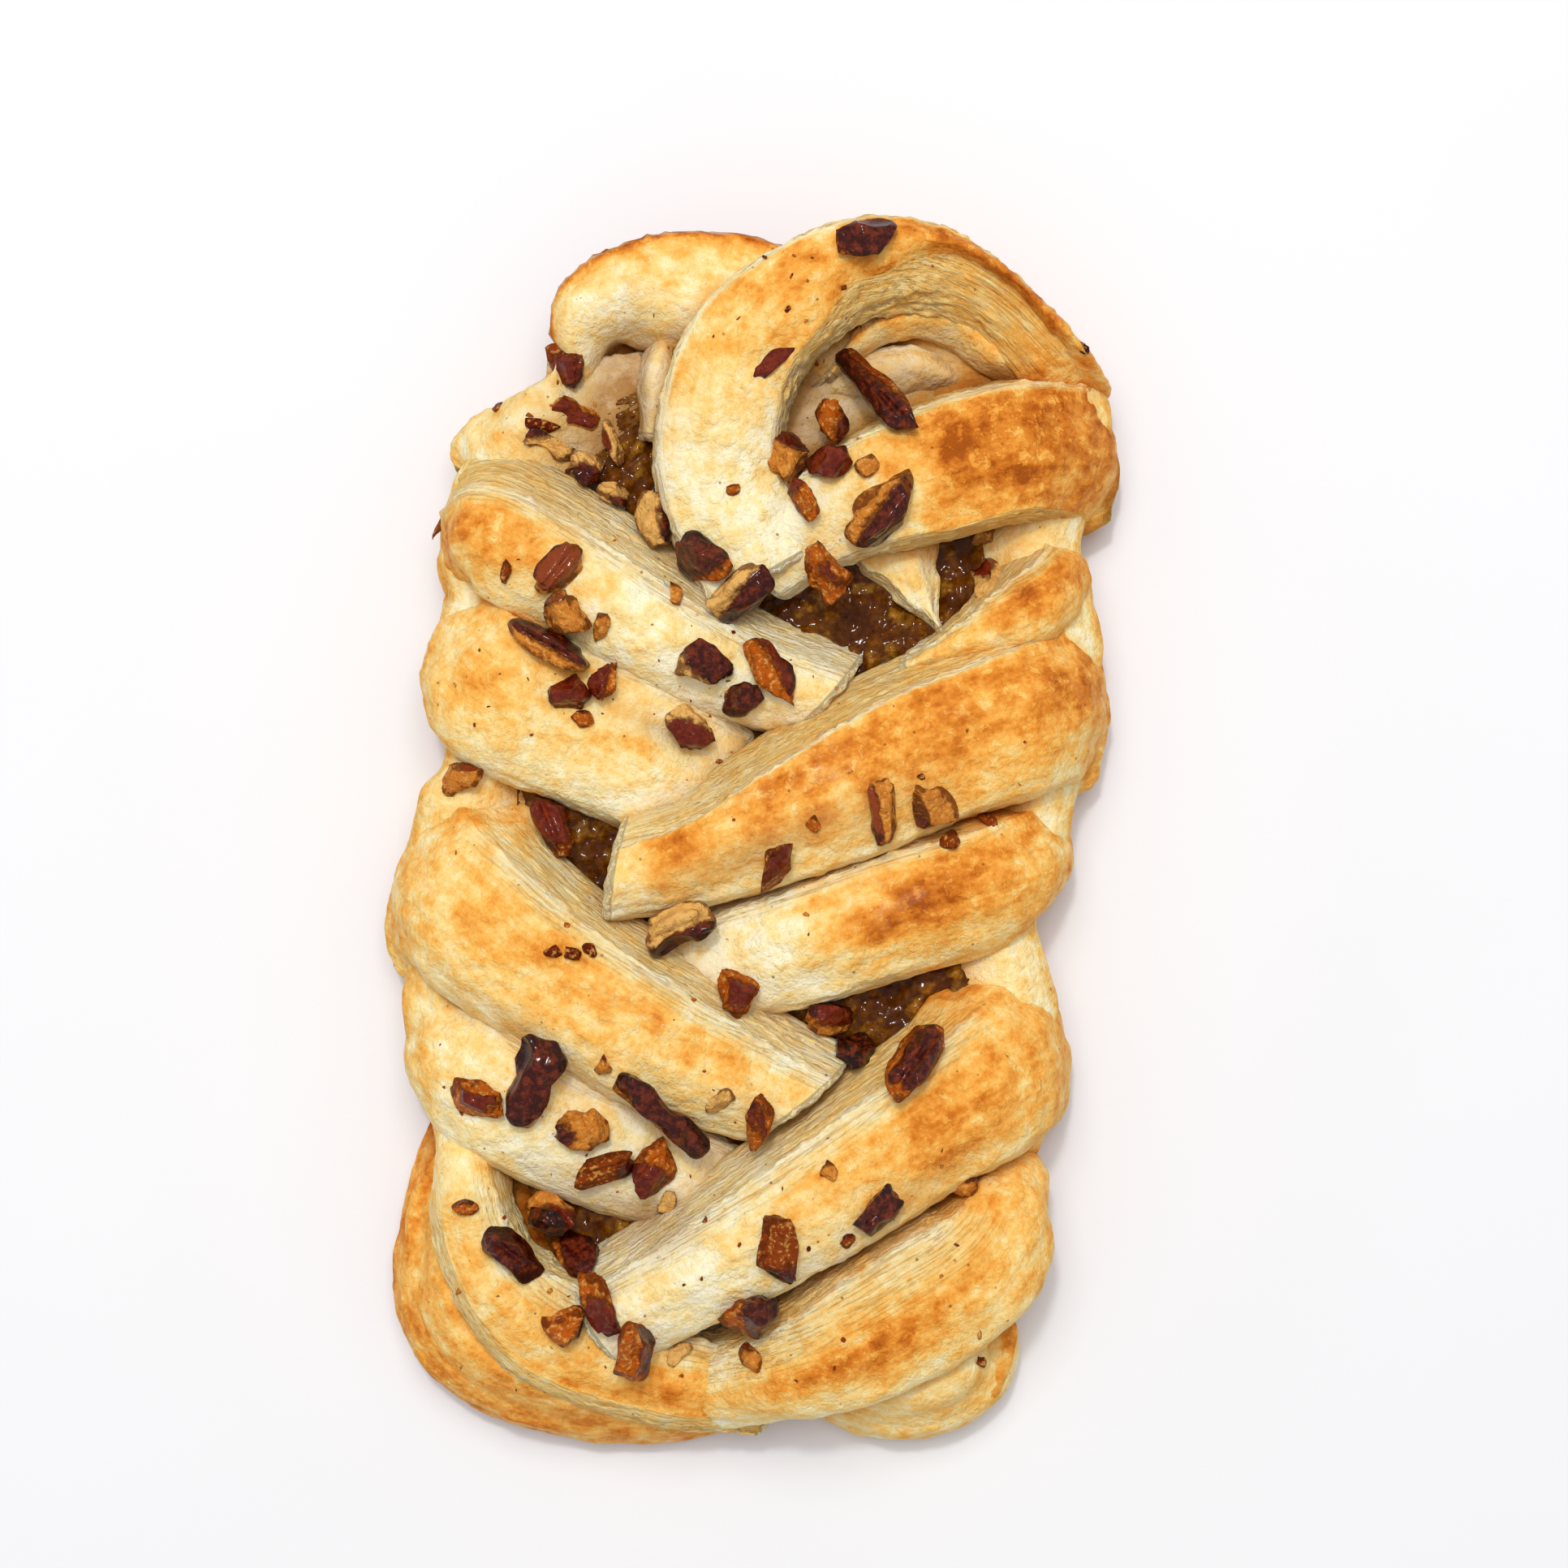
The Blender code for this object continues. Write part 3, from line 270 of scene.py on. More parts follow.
NUTS = tuple(Nut(*row) for row in (
    (-20.8, 53.0, 5.7, 4.6, 90, 3.6, "brown", "red", -90, 0.5),
    (-20.3, 47.5, 6.4, 4.0, -10, 2.6, "tan", "red", None, 0.5),
    (-23.2, 44.0, 5.7, 3.3, -15, 3.2, "cream", "dark", 110, 0.15, "half"),
    (-16.0, 44.2, 5.7, 2.4, -75, 2.8, "cream", "red", 180, 0.3),
    (-18.9, 40.2, 4.8, 4.0, -80, 3.6, "cream", "dark", -100, 0.5),
    (-15.9, 36.7, 4.8, 4.0, -35, 4.0, "cream", "dark", -60, 0.12),
    (-12.2, 34.3, 6.6, 4.0, 100, 4.2, "cream", "dark", 0, 0.15, "half"),
    (12.6, 65.6, 6.8, 4.7, -5, 4.4, "brown", "dark", None, 0.8),
    (2.2, 52.1, 6.1, 2.1, 40, 1.8, "brown", "red", None, 0.95),
    (14.3, 48.9, 12.5, 3.9, -52, 4.8, "brown", "dark", 218, 0.82, "half"),
    (2.5, 41.2, 6.4, 5.5, 50, 4.4, "tan", "red", 80, 0.35),
    (10.0, 44.9, 5.6, 3.6, -65, 4.2, "orange", "dark", -20, 0.2, "slab"),
    (8.4, 40.5, 5.0, 4.1, 25, 4.4, "brown", "red", None, 0.95),
    (5.6, 37.0, 5.2, 2.9, -60, 3.6, "orange", "red", 130, 0.25),
    (13.9, 35.5, 9.9, 5.2, 42, 4.8, "tan", "dark", -30, 0.6, "half"),
    (8.5, 28.6, 6.9, 5.3, -70, 4.6, "orange", "red", None, 0.1, "slab"),
    (-21.7, 29.5, 6.7, 4.0, 50, 3.4, "tan", "brown", None, 0.85, "half"),
    (-20.6, 24.7, 6.3, 4.1, -40, 4.2, "tan", "brown", 130, 0.18),
    (-23.2, 21.0, 10.4, 3.6, -28, 4.6, "tan", "dark", 62, 0.52, "half"),
    (-20.5, 15.8, 4.7, 4.1, 20, 4.0, "brown", "red", None, 0.9),
    (-17.0, 17.1, 4.9, 3.3, 60, 3.8, "orange", "red", 160, 0.6),
    (-5.9, 31.1, 6.5, 5.0, -40, 4.4, "orange", "dark", 135, 0.82),
    (-2.3, 25.9, 8.8, 4.7, 40, 4.4, "cream", "dark", -20, 0.5, "half"),
    (-5.2, 19.2, 6.8, 4.9, -15, 4.2, "cream", "dark", 40, 0.8),
    (1.8, 18.1, 8.9, 3.4, -55, 4.0, "orange", "red", 40, 0.2),
    (-1.2, 14.9, 4.9, 3.8, 10, 3.8, "brown", "dark", None, 0.95),
    (-7.1, 12.3, 6.1, 4.9, -60, 4.4, "cream", "red", -90, 0.5),
    (2.7, -3.9, 5.9, 3.4, 72, 3.8, "brown", "red", None, 0.5),
    (14.2, 2.3, 7.5, 3.2, 95, 3.8, "tan", "brown", 200, 0.25),
    (20.2, 3.0, 5.0, 4.5, -20, 4.4, "tan", "dark", 200, 0.08),
    (-1.8, -18.1, 5.6, 4.5, -60, 3.8, "orange", "red", None, 0.45, "slab"),
    (8.4, -20.4, 6.7, 5.3, 80, 5.0, "tan", "red", 60, 0.6),
    (10.8, -25.6, 5.5, 4.4, 0, 4.0, "brown", "black", None, 1.0),
    (17.9, -25.5, 9.5, 4.3, 55, 4.8, "orange", "dark", None, 0.65, "half"),
    (-9.2, -10.0, 9.2, 5.8, 25, 4.8, "cream", "dark", -60, 0.38, "half"),
    (-23.4, -27.2, 10.2, 5.6, 75, 4.8, "tan", "dark", None, 0.97, "waist"),
    (-10.2, -31.0, 13.3, 3.8, -42, 4.8, "tan", "dark", 40, 0.9, "waist"),
    (-30.8, -29.5, 6.3, 4.0, -10, 3.8, "orange", "red", None, 0.4),
    (-19.0, -33.0, 5.8, 4.5, 30, 4.0, "tan", "dark", 200, 0.2),
    (0.6, -32.2, 6.8, 3.2, 85, 3.6, "orange", "red", None, 0.3),
    (-16.5, -37.6, 7.8, 3.6, 18, 4.0, "brown", "dark", -10, 0.15, "half"),
    (-10.9, -37.6, 7.0, 4.0, 62, 4.2, "orange", "red", 240, 0.6),
    (-22.1, -41.6, 6.9, 4.6, -30, 4.2, "tan", "red", -60, 0.45),
    (-20.5, -48.6, 6.3, 5.1, -25, 4.6, "orange", "dark", 20, 0.78),
    (-26.8, -47.5, 8.1, 4.0, -38, 4.4, "brown", "dark", None, 1.0, "half"),
    (-17.3, -52.6, 7.2, 3.8, -62, 4.0, "orange", "red", -70, 0.5),
    (-21.1, -55.3, 5.3, 4.7, 0, 4.0, "orange", "dark", -20, 0.2),
    (-13.4, -57.8, 7.6, 4.3, 78, 4.4, "orange", "red", 10, 0.25, "half"),
    (-24.0, -44.6, 5.9, 3.7, -25, 3.6, "brown", "black", None, 1.0),
    (2.9, -46.3, 7.4, 5.0, 80, 4.4, "brown", "black", -80, 0.2),
    (13.9, -42.0, 6.6, 3.9, 45, 4.2, "brown", "dark", None, 0.92, "half"),
    (-1.2, -53.4, 7.2, 4.9, 5, 4.4, "orange", "dark", 0, 0.65, "slab"),
    (-23.6, -0.3, 8.1, 4.2, -68, 4.4, "brown", "red", 120, 0.8, "half"),
    (27.0, 27.2, 7.4, 4.2, 75, 4.2, "cream", "red", 100, 0.2, "slab"),
    (-33.2, 6.3, 5.4, 4.0, 25, 4.0, "tan", "brown", 70, 0.15),
))

# Small nut pieces that are one with the pastry: centre, length, width, direction and colour.
CRUMBS = (
    (-24.0, 46.0, 4.8, 1.8, -5, "red"), (-16.8, 23.0, 4.3, 2.3, 80, "tan"),
    (-18.8, 12.7, 3.4, 2.5, -30, "orange"), (-4.0, -30.2, 4.9, 2.5, 40, "cream"),
    (-8.6, -59.1, 4.5, 2.4, 45, "cream"), (23.8, -39.9, 3.6, 3.1, 0, "tan"),
    (-0.5, -59.2, 4.2, 2.9, -50, "tan"), (13.0, 40.5, 3.4, 3.0, 40, "tan"),
    (-8.6, 26.9, 3.4, 2.2, -70, "tan"), (21.9, -0.8, 2.9, 2.5, 0, "brown"),
    (26.8, 1.1, 3.4, 1.8, -40, "brown"), (6.7, 1.0, 2.3, 2.2, 0, "orange"),
    (-22.2, -13.0, 2.2, 1.8, 0, "red"), (-20.1, -13.5, 2.0, 2.5, 70, "red"),
    (-18.0, -13.1, 2.0, 2.0, 0, "red"), (-16.8, -26.0, 3.3, 2.3, 80, "tan"),
    (-9.9, -41.7, 3.4, 2.5, 80, "cream"), (-32.2, -42.2, 3.1, 2.5, 0, "orange"),
    (10.7, -45.3, 2.5, 1.8, 30, "brown"), (8.5, -37.4, 3.0, 2.3, -40, "tan"),
    (26.0, -60.7, 1.7, 1.7, 0, "brown"), (-27.6, 29.1, 3.1, 1.6, 80, "brown"),
    (-2.2, 38.2, 2.1, 1.6, 0, "orange"), (-36.0, 35.0, 3.9, 1.3, 55, "brown"),
    (36.8, 54.2, 2.2, 1.5, -40, "dark"), (-29.2, 48.4, 2.6, 1.3, 5, "brown"),
    (26.2, 33.5, 4.8, 2.8, 20, "syrup"), (18.6, 6.2, 1.4, 0.9, -20, "red"),
)

# A crumb's height as a share of its width, the power that fills a nut's round body out, the share
# of a small piece's height that is sunk into the dough, and the steepest ground a nut tilts to.
CRUMB_TALL = 0.75
FULLNESS = 0.75
SUNK = 0.22
STEEPEST = 0.45

# Specks of nut with a place of their own (centre and size), and how many specks there are in all.
SPECKS = (
    (1.3, 63.6, 1.0), (4.5, 63.8, 0.7), (6.5, 63.6, 0.8), (4.2, 61.4, 0.9), (6.0, 60.8, 0.6),
    (10.1, 60.4, 1.0), (3.8, 57.7, 1.2), (-1.5, 56.9, 0.8), (5.8, 56.5, 0.7), (7.0, 52.9, 0.8),
    (5.9, -9.1, 0.9), (6.2, -11.3, 0.6), (29.7, 5.3, 0.8), (30.3, 10.0, 0.7), (10.8, 6.8, 0.8),
    (-1.5, -45.7, 0.9), (21.0, -35.4, 0.7), (21.0, -37.2, 0.8), (-7.1, -38.8, 0.7), (-5.3, -43.1, 1.1),
    (-5.7, -49.5, 0.9), (-7.7, -50.2, 0.7), (6.1, -46.1, 0.9), (3.3, -39.5, 0.7), (22.7, -46.0, 0.8),
    (21.0, -49.5, 0.7), (10.1, -56.6, 0.9), (9.0, -59.7, 0.8), (19.9, 68.4, 1.4), (-33.0, -51.6, 1.3),
    (25.3, -56.3, 1.3), (12.0, 56.8, 0.7), (-4.4, 54.9, 0.6), (-26.2, 30.4, 0.7), (-29.8, 26.3, 0.6),
    (-30.7, 20.4, 0.7), (-33.4, 16.4, 0.5), (-24.8, 10.9, 0.7), (15.6, 14.1, 0.5), (33.8, 16.8, 0.6),
    (23.8, 11.4, 0.6), (-2.1, 1.4, 0.6), (-33.4, -2.3, 0.7), (-26.2, -5.9, 0.5), (-20.7, -10.4, 0.9),
    (-8.5, -11.3, 0.6), (-35.3, -24.0, 0.6), (-4.4, -28.6, 0.6), (28.3, -25.0, 0.6), (8.3, -34.0, 0.6),
    (15.6, -43.1, 0.7), (-28.0, -35.9, 0.6), (-20.7, -52.2, 0.6), (-33.4, -61.3, 0.6), (4.7, -61.3, 0.6),
    (29.2, -60.4, 0.6),
)
SPECK_COUNT = 240

# Colours as they show, in sRGB.
NUT_COLOURS = {
    "cream": (230, 178, 100), "tan": (208, 128, 46), "orange": (182, 88, 15),
    "brown": (134, 56, 11), "red": (96, 21, 4), "dark": (58, 9, 4),
    "black": (28, 4, 3), "syrup": (150, 104, 50),
}


def blend(values, s):
    """The value at s, from 0 to 1, of a smooth run through values that lie evenly along it."""
    place = s * (len(values) - 1)
    i = min(int(place), len(values) - 2)
    u = place - i
    return values[i] + (values[i + 1] - values[i]) * u * u * (3 - 2 * u)


def catmull_rom(a, b, c, d, u):
    """The point at u, from 0 to 1, between b and c on the smooth curve through all four."""
    return 0.5 * (2 * b + (c - a) * u + (2 * a - 5 * b + 4 * c - d) * u ** 2
                  + (3 * b - a - 3 * c + d) * u ** 3)


def smooth_curve(points, closed=False, pieces=8):
    """Points along the smooth curve through the given ones, with so many pieces to each span."""
    count = len(points)
    spans = count if closed else count - 1
    found = []
    for i in range(spans):
        around = [points[(i + k) % count] if closed else points[min(max(i + k, 0), count - 1)]
                  for k in (-1, 0, 1, 2)]
        found += [catmull_rom(*around, j / pieces) for j in range(pieces)]
    return found if closed else found + [points[-1]]


def even_stations(points, step):
    """The same curve at even distances, near to the step."""
    lengths = [0.0]
    for before, after in zip(points, points[1:]):
        lengths.append(lengths[-1] + (after - before).length)
    count = max(2, round(lengths[-1] / step))
    found = []
    i = 0
    for k in range(count + 1):
        wanted = lengths[-1] * k / count
        while i < len(points) - 2 and lengths[i + 1] < wanted:
            i += 1
        u = (wanted - lengths[i]) / (lengths[i + 1] - lengths[i])
        found.append(points[i].lerp(points[i + 1], min(max(u, 0.0), 1.0)))
    return found


def flat_vectors(pairs):
    """The pairs as vectors with no third part."""
    return [Vector((x, y, 0)) for x, y in pairs]


def strip_root(strip):
    """The place on the outline where a strip starts, and the outward direction there."""
    outline = smooth_curve(flat_vectors(OUTLINE), closed=True, pieces=4)
    near = min((i for i in range(len(outline)) if outline[i].x * strip.side > ROOT_LEAST_X),
               key=lambda i: abs(outline[i].y - strip.root))
    along = outline[(near + ROOT_REACH) % len(outline)] - outline[near - ROOT_REACH]
    return outline[near], along.cross(UP).normalized() * -1


def strip_centres(strip, root, outward):
    """The strip's centre line: up round the side of the plait, then inwards along its path."""
    last = len(strip.path) - 1
    points = []
    if root is not None:
        half = strip.thick[0] / 2
        points.append(root - outward * (half + ROOT_TUCK) + UP * ROOT_HEIGHT)
        points.append(root - outward * (half + ROOT_INSET) + UP * BULGE_HEIGHT)
    for i, (x, y) in enumerate(strip.path):
        s = i / last
        points.append(Vector((x, y, blend(strip.under, s) + blend(strip.thick, s) / 2)))
    return even_stations(smooth_curve(points), STATION_STEP)


def unit(values):
    """The values, held between 0 and 1."""
    return np.clip(values, 0, 1)


# -------- noise on arrays of points

# The largest hash of a cell, the bits that hashing keeps, and the numbers that it mixes a cell's
# place and salt with.
HASH_MOST = 255
HASH_BITS = 0xFFFFFFFF
HASH_FACTORS = (73856093, 19349663, 83492791)
HASH_SALT = 2654435761
HASH_MIXER = 0x45D9F3B

# What brings the noise up to about 1, and a distance beyond any.
NOISE_GAIN = 1.6
FAR = 9.0


def lattice_directions():
    """A random direction for each value of a cell's hash."""
    draw = np.random.RandomState(7)
    found = draw.normal(size=(HASH_MOST + 1, 3))
    return found / np.linalg.norm(found, axis=1, keepdims=True)


DIRECTIONS = lattice_directions()


def cell_hash(cells, salt):
    """A random whole number from 0 to HASH_MOST for each cell of a lattice."""
    a, b, c = HASH_FACTORS
    x = cells[..., 0] * a ^ cells[..., 1] * b ^ cells[..., 2] * c
    x = (x ^ (salt * HASH_SALT)) & HASH_BITS
    for _ in range(2):
        x = ((x >> 16) ^ x) * HASH_MIXER & HASH_BITS
    return ((x >> 16) ^ x) & HASH_MOST


def gradient_noise(points, wavelength, salt=0):
    """Smooth noise from about -1 to 1 at each point."""
    place = np.asarray(points) / wavelength
    low = np.floor(place).astype(np.int64)
    inside = place - low
    fade = inside ** 3 * (inside * (inside * 6 - 15) + 10)
    found = np.zeros(place.shape[:-1])
    for corner in product((0, 1), repeat=3):
        step = np.array(corner)
        slope = DIRECTIONS[cell_hash(low + step, salt)]
        found += (slope * (inside - step)).sum(-1) * np.abs(1 - step - fade).prod(-1)
    return found * NOISE_GAIN


def layered_noise(points, wavelength, octaves, salt=0):
    """Noise with finer and finer waves, each half as long and half as high as the one before."""
    found = np.zeros(np.asarray(points).shape[:-1])
    for octave in range(octaves):
        found += 0.5 ** octave * gradient_noise(points, wavelength / 2 ** octave, salt + octave)
    return found


def cell_distance(points, wavelength, salt=0):
    """(distance to the nearest scattered point, to the second nearest, random share of the nearest)
    for each point."""
    place = np.asarray(points) / wavelength
    low = np.floor(place).astype(np.int64)
    first = np.full(place.shape[:-1], FAR)
    second = first
    owner = np.zeros(place.shape[:-1], np.int64)
    for step in product((-1, 0, 1), repeat=3):
        cell = low + np.array(step)
        spot = np.stack([cell_hash(cell, salt + k) for k in (1, 2, 3)], -1) / HASH_MOST
        distance = np.linalg.norm(cell + spot - place, axis=-1)
        nearer = distance < first
        second = np.where(nearer, first, np.minimum(second, distance))
        owner = np.where(nearer, cell_hash(cell, salt + 4), owner)
        first = np.where(nearer, distance, first)
    return first, second, owner / HASH_MOST


# -------- mesh objects

# The kind and the field of an attribute, by how many numbers it has for each point.
ATTRIBUTE_KINDS = {1: ("FLOAT", "value"), 3: ("FLOAT_VECTOR", "vector"), 4: ("FLOAT_COLOR", "color")}


def add_object(name, data):
    made = bpy.data.objects.new(name, data)
    bpy.context.scene.collection.objects.link(made)
    return made


def mesh_object(name, points, faces, values):
    """A smooth mesh object from points in millimetres. "values" are its attributes: a number, a
    vector or a colour with its alpha for each point."""
    mesh = bpy.data.meshes.new(name)
    mesh.from_pydata((np.asarray(points) * MM).tolist(), [], faces)
    mesh.polygons.foreach_set("use_smooth", [True] * len(mesh.polygons))
    for key, value in values.items():
        value = np.asarray(value, np.float32)
        kind, field = ATTRIBUTE_KINDS[value.size // len(points)]
        mesh.attributes.new(key, kind, "POINT").data.foreach_set(field, value.ravel())
    mesh.update()
    return add_object(name, mesh)


def ring_faces(rows, columns, turned):
    """The quads between rings of points, each ring closed on itself, and the two end faces. The
    end face with the number "turned" runs backwards."""
    faces = []
    for i, j in product(range(rows - 1), range(columns)):
        k = (j + 1) % columns
        faces.append((i * columns + j, i * columns + k, (i + 1) * columns + k, (i + 1) * columns + j))
    ends = [tuple(range(columns)), tuple(range((rows - 1) * columns, rows * columns))]
    ends[turned] = ends[turned][::-1]
    return faces + ends


def linear(srgb):
    """Linear colour from sRGB values of 0 to 255."""
    share = np.asarray(srgb, float) / 255
    return np.where(share <= 0.04045, share / 12.92, ((share + 0.055) / 1.055) ** 2.4)


def tint(red, green, blue):
    """A linear colour as a tuple, from its sRGB values of 0 to 255."""
    return tuple(linear((red, green, blue)))


# -------- strips

# The distances between the points round a strip, on a cut face and on the crust, and how many
# points a face has at least and the underside has.
FACE_STEP = 0.24
CRUST_STEP = 0.42
LEAST_COLUMNS = 8
UNDERSIDE_COLUMNS = 4

# At these shares of the way down, the lower face stands out by these shares of its band. The crust
# of a wrapped strip droops by this much at its lower edge.
FLARE_AT = (0, 0.22, 0.58, 1)
FLARE_OUT = (0, 0.55, 0.9, 0.65)
LOWER_DROOP = 1.3

# A strip is this much wider on each side at its root, which ends after this length, and where it
# is no longer one with its neighbours its cut faces come out over the length of the fade.
ROOT_SPREAD = 2.6
ROOT_SPREAD_LENGTH = 11.0
WHOLE_FADE = 8

# A layer of a cut face is this thick. On torn crust the layers go down by this much for each
# millimetre across it.
LAYER_THICKNESS = 0.8
CRUST_LAYER_SLOPE = 0.8

# The edge between the upper face and the crust frays over about this many points of the crust, and
# over one of so many parts of the face.
EDGE_POINTS = 8
EDGE_PARTS = 5

# The browning of a root, as a share of its strip's own, and how much paler a torn streak is.
ROOT_TONE = 0.85
STREAK_PALING = 0.75

# The seeds of two strips, and the patterns along them, lie this far apart.
SEED_STEP = 20
FIRST_SEED = 11
FLOW_STEP = 50.0

# The faces of a strip, in their order round it.
UPPER_FACE, CRUST, LOWER_FACE, UNDERSIDE = range(4)

# The rings that close the end of a strip: (size, how far they stand out).
TIP_RINGS = ((0.985, 0.25), (0.95, 0.5), (0.88, 0.72), (0.8, 0.85), (0.7, 0.92), (0.6, 0.96),
             (0.5, 0.98), (0.4, 1.0), (0.3, 1.0), (0.2, 1.0), (0.1, 1.0))


class Section:
    """The points round a strip at all its stations. "across" and "up" hold a row for each station
    and a column for each point round it, and "lift" is "up" from the middle of the thickness.
    "kind" says which face a column is on, and "share" how far along that face it is."""

    def __init__(self, strip, s, length):
        self.thick = run(strip.thick, s)
        half = run(strip.width, s) / 2 + (0 if strip.root is None else root_spread(s, length))
        upper, lower = (run(band, s) for band in strip.bands)
        edge = self.thick * (1 - run(CROWN, s))
        counts = (column_count(upper, edge, FACE_STEP),
                  column_count(2 * half - upper - lower, 0, CRUST_STEP),
                  column_count(lower, edge, FACE_STEP), UNDERSIDE_COLUMNS)
        self.kind = np.concatenate([np.full(count, k) for k, count in enumerate(counts)])
        self.share = np.concatenate([np.arange(count) / count for count in counts])[None, :]
        t = self.share
        left = half - upper
        right = -half + lower
        flare = np.interp(t, FLARE_AT, FLARE_OUT)
        foot = right - lower * FLARE_OUT[-1]
        crown = (self.thick - edge) * np.sin(np.pi * t)
        droop = LOWER_DROOP if strip.wrapped else 0.0
        self.across = np.choose(self.kind[None, :], (half - upper * t, left + (right - left) * t,
                                                     right - lower * flare, foot + (half - foot) * t))
        self.up = np.choose(self.kind[None, :], (edge * t, edge + crown - droop * t ** 5,
                                                 (edge - droop) * (1 - t), 0 * edge * t))
        self.lift = self.up - self.thick / 2

    def on(self, kind):
        return (self.kind == kind)[None, :]

    def normals(self):
        """(across, up) parts of the outward direction at each point."""
        across = np.roll(self.up, -1, 1) - np.roll(self.up, 1, 1)
        up = np.roll(self.across, 1, 1) - np.roll(self.across, -1, 1)
        length = np.hypot(across, up) + 1e-9
        return across / length, up / length


def column_count(wide, high, step):
    """How many points a face needs, to be no more than about a step apart."""
    return max(LEAST_COLUMNS, round(float(np.hypot(wide, high).max()) / step))


def root_spread(s, length):
    """How much further a strip reaches sideways near its root, where it joins its neighbours."""
    return ROOT_SPREAD * unit(1 - s * length / ROOT_SPREAD_LENGTH)[:, None] ** 0.8


def run(values, s):
    """A column with the run's value at each s, or with the one value."""
    if isinstance(values, float):
        return np.full((len(s), 1), values)
    return np.array([[blend(values, v)] for v in s])


def streaked(strip, t):
    """1 at the crust's upper edge, falling to 0 where its torn streak ends."""
    return unit(1 - t / max(strip.streak, 0.001))


def browning(strip, s, section, points, rooted):
    """How brown the pastry baked at each point: the strip's own browning times a share for each
    face, and more or less of it in patches."""
    runs = run(strip.brown, s)
    t = section.share
    across = np.interp(t, (0, 0.08, 0.5, 1), (0.75, 1.0, 0.95, 0.4 if strip.wrapped else 0.85))
    across = across * (1 - STREAK_PALING * streaked(strip, t) ** 0.5)
    shares = {UPPER_FACE: 0.4 + 0.2 * t ** 4, CRUST: across,
              LOWER_FACE: 0.45 + 0 * t if strip.wrapped else 0.54 - 0.1 * t, UNDERSIDE: 0.3 + 0 * t}
    if strip.rim < 0:
        shares[CRUST] = across * (1 - t) + (0.8 + 0.35 * t) * t
        shares[LOWER_FACE] = 1.15 + 0.2 * t
    if strip.rim > 0:
        shares[CRUST] = 1.1 * np.exp(-t / 0.1) + 0.6 - 0.5 * t
        shares[UPPER_FACE] = 1.6 + 0 * t
        shares[LOWER_FACE] = 0.15 + 0 * t
    brown = sum(section.on(kind) * runs * share for kind, share in shares.items())
    brown = brown * (1 - rooted) + runs * ROOT_TONE * rooted
    baked = section.on(CRUST) + (section.on(LOWER_FACE) if strip.wrapped else 0)
    return brown + baked * spread_over(points, PATCHES)


def spread_over(points, patches):
    """The sum of the patches' strengths at each point, each fading out from its centre."""
    found = np.zeros(points.shape[:-1])
    for x, y, long, wide, turn, strength in patches:
        angle = math.radians(turn)
        dx = points[..., 0] - x
        dy = points[..., 1] - y
        u = (dx * math.cos(angle) + dy * math.sin(angle)) / long
        v = (dy * math.cos(angle) - dx * math.sin(angle)) / wide
        found = found + strength * np.exp(-(u * u + v * v))
    return found


def ridges(place):
    """(height, gap) at a place counted in layers: each layer is a rounded ridge with a gap beside it."""
    ridge = np.abs(np.sin(np.pi * place))
    return ridge ** 0.6 - 0.6, unit(1 - ridge / 0.45)


def layers(depth, along, salt):
    """(height, gap) of the layers of a cut face: depth runs through the layers in millimetres."""
    def wobble(through, wavelength, turn):
        return gradient_noise(np.stack([along, through, 0 * along + salt], -1), wavelength, salt + turn)

    wander = 1.1 * wobble(depth * 0.6, 9.0, 0)
    wander += 0.6 * wobble(depth, 3.2, 3)
    wander += 0.25 * wobble(depth, 1.2, 2)
    strength = np.clip(0.6 + 1.2 * wobble(depth, 4.5, 4), 0.1, 1)
    place = depth / LAYER_THICKNESS + wander
    index = np.floor(place)
    ridge, gap = ridges(place)
    uneven = wobble(index * 9.7, 3.4, 5)
    torn = wobble(index * 7.3, 0.9, 6)
    height = 0.22 * ridge * strength + 0.30 * uneven + 0.20 * torn
    gap = gap * strength
    split = unit((uneven - 0.3) * 3) * gap
    return height - 0.35 * split, unit(gap * 0.5 + split * 0.5)


def joined(strip, s, length):
    """1 where a strip is still one with its neighbours, at its root, falling to 0 further on."""
    if strip.root is None:
        return 0 * s[:, None]
    return unit(1 - (s * length - strip.whole) / WHOLE_FADE)[:, None]


def torn_share(strip, section):
    """How far each point is torn into layers, from 0 for whole crust to 1 for a cut face."""
    cut = np.where(section.on(CRUST), 0.85 * streaked(strip, section.share) ** 0.6, 1.0)
    if strip.wrapped:
        cut = np.where(section.on(LOWER_FACE), 0.0, cut)
    if strip.rim > 0:
        cut = np.where(section.on(UPPER_FACE), 0.0, cut)
    return cut


def edge_share(section):
    """1 at the edge between the upper face and the crust, falling to 0 on both sides of it."""
    t = section.share
    edge = np.where(section.on(CRUST), unit(1 - t * len(section.kind) / EDGE_POINTS), 0)
    return np.where(section.on(UPPER_FACE), unit(1 - (1 - t) * EDGE_PARTS), edge)


def crust_wrinkles(section, base, along, salt):
    """How far the crust rises: bumps, and wrinkles that are drawn out along the strip."""
    rise = 0.26 * layered_noise(base, 4.2, 3, salt) + 0.12 * gradient_noise(base, 1.3, salt + 9)
    for height, drawn, wavelength, turn in ((0.06, 5, 0.9, 2), (0.4, 4, 4.5, 4)):
        place = np.stack([along / drawn, section.across, section.lift], -1)
        rise += height * gradient_noise(place, wavelength, salt + turn)
    return rise


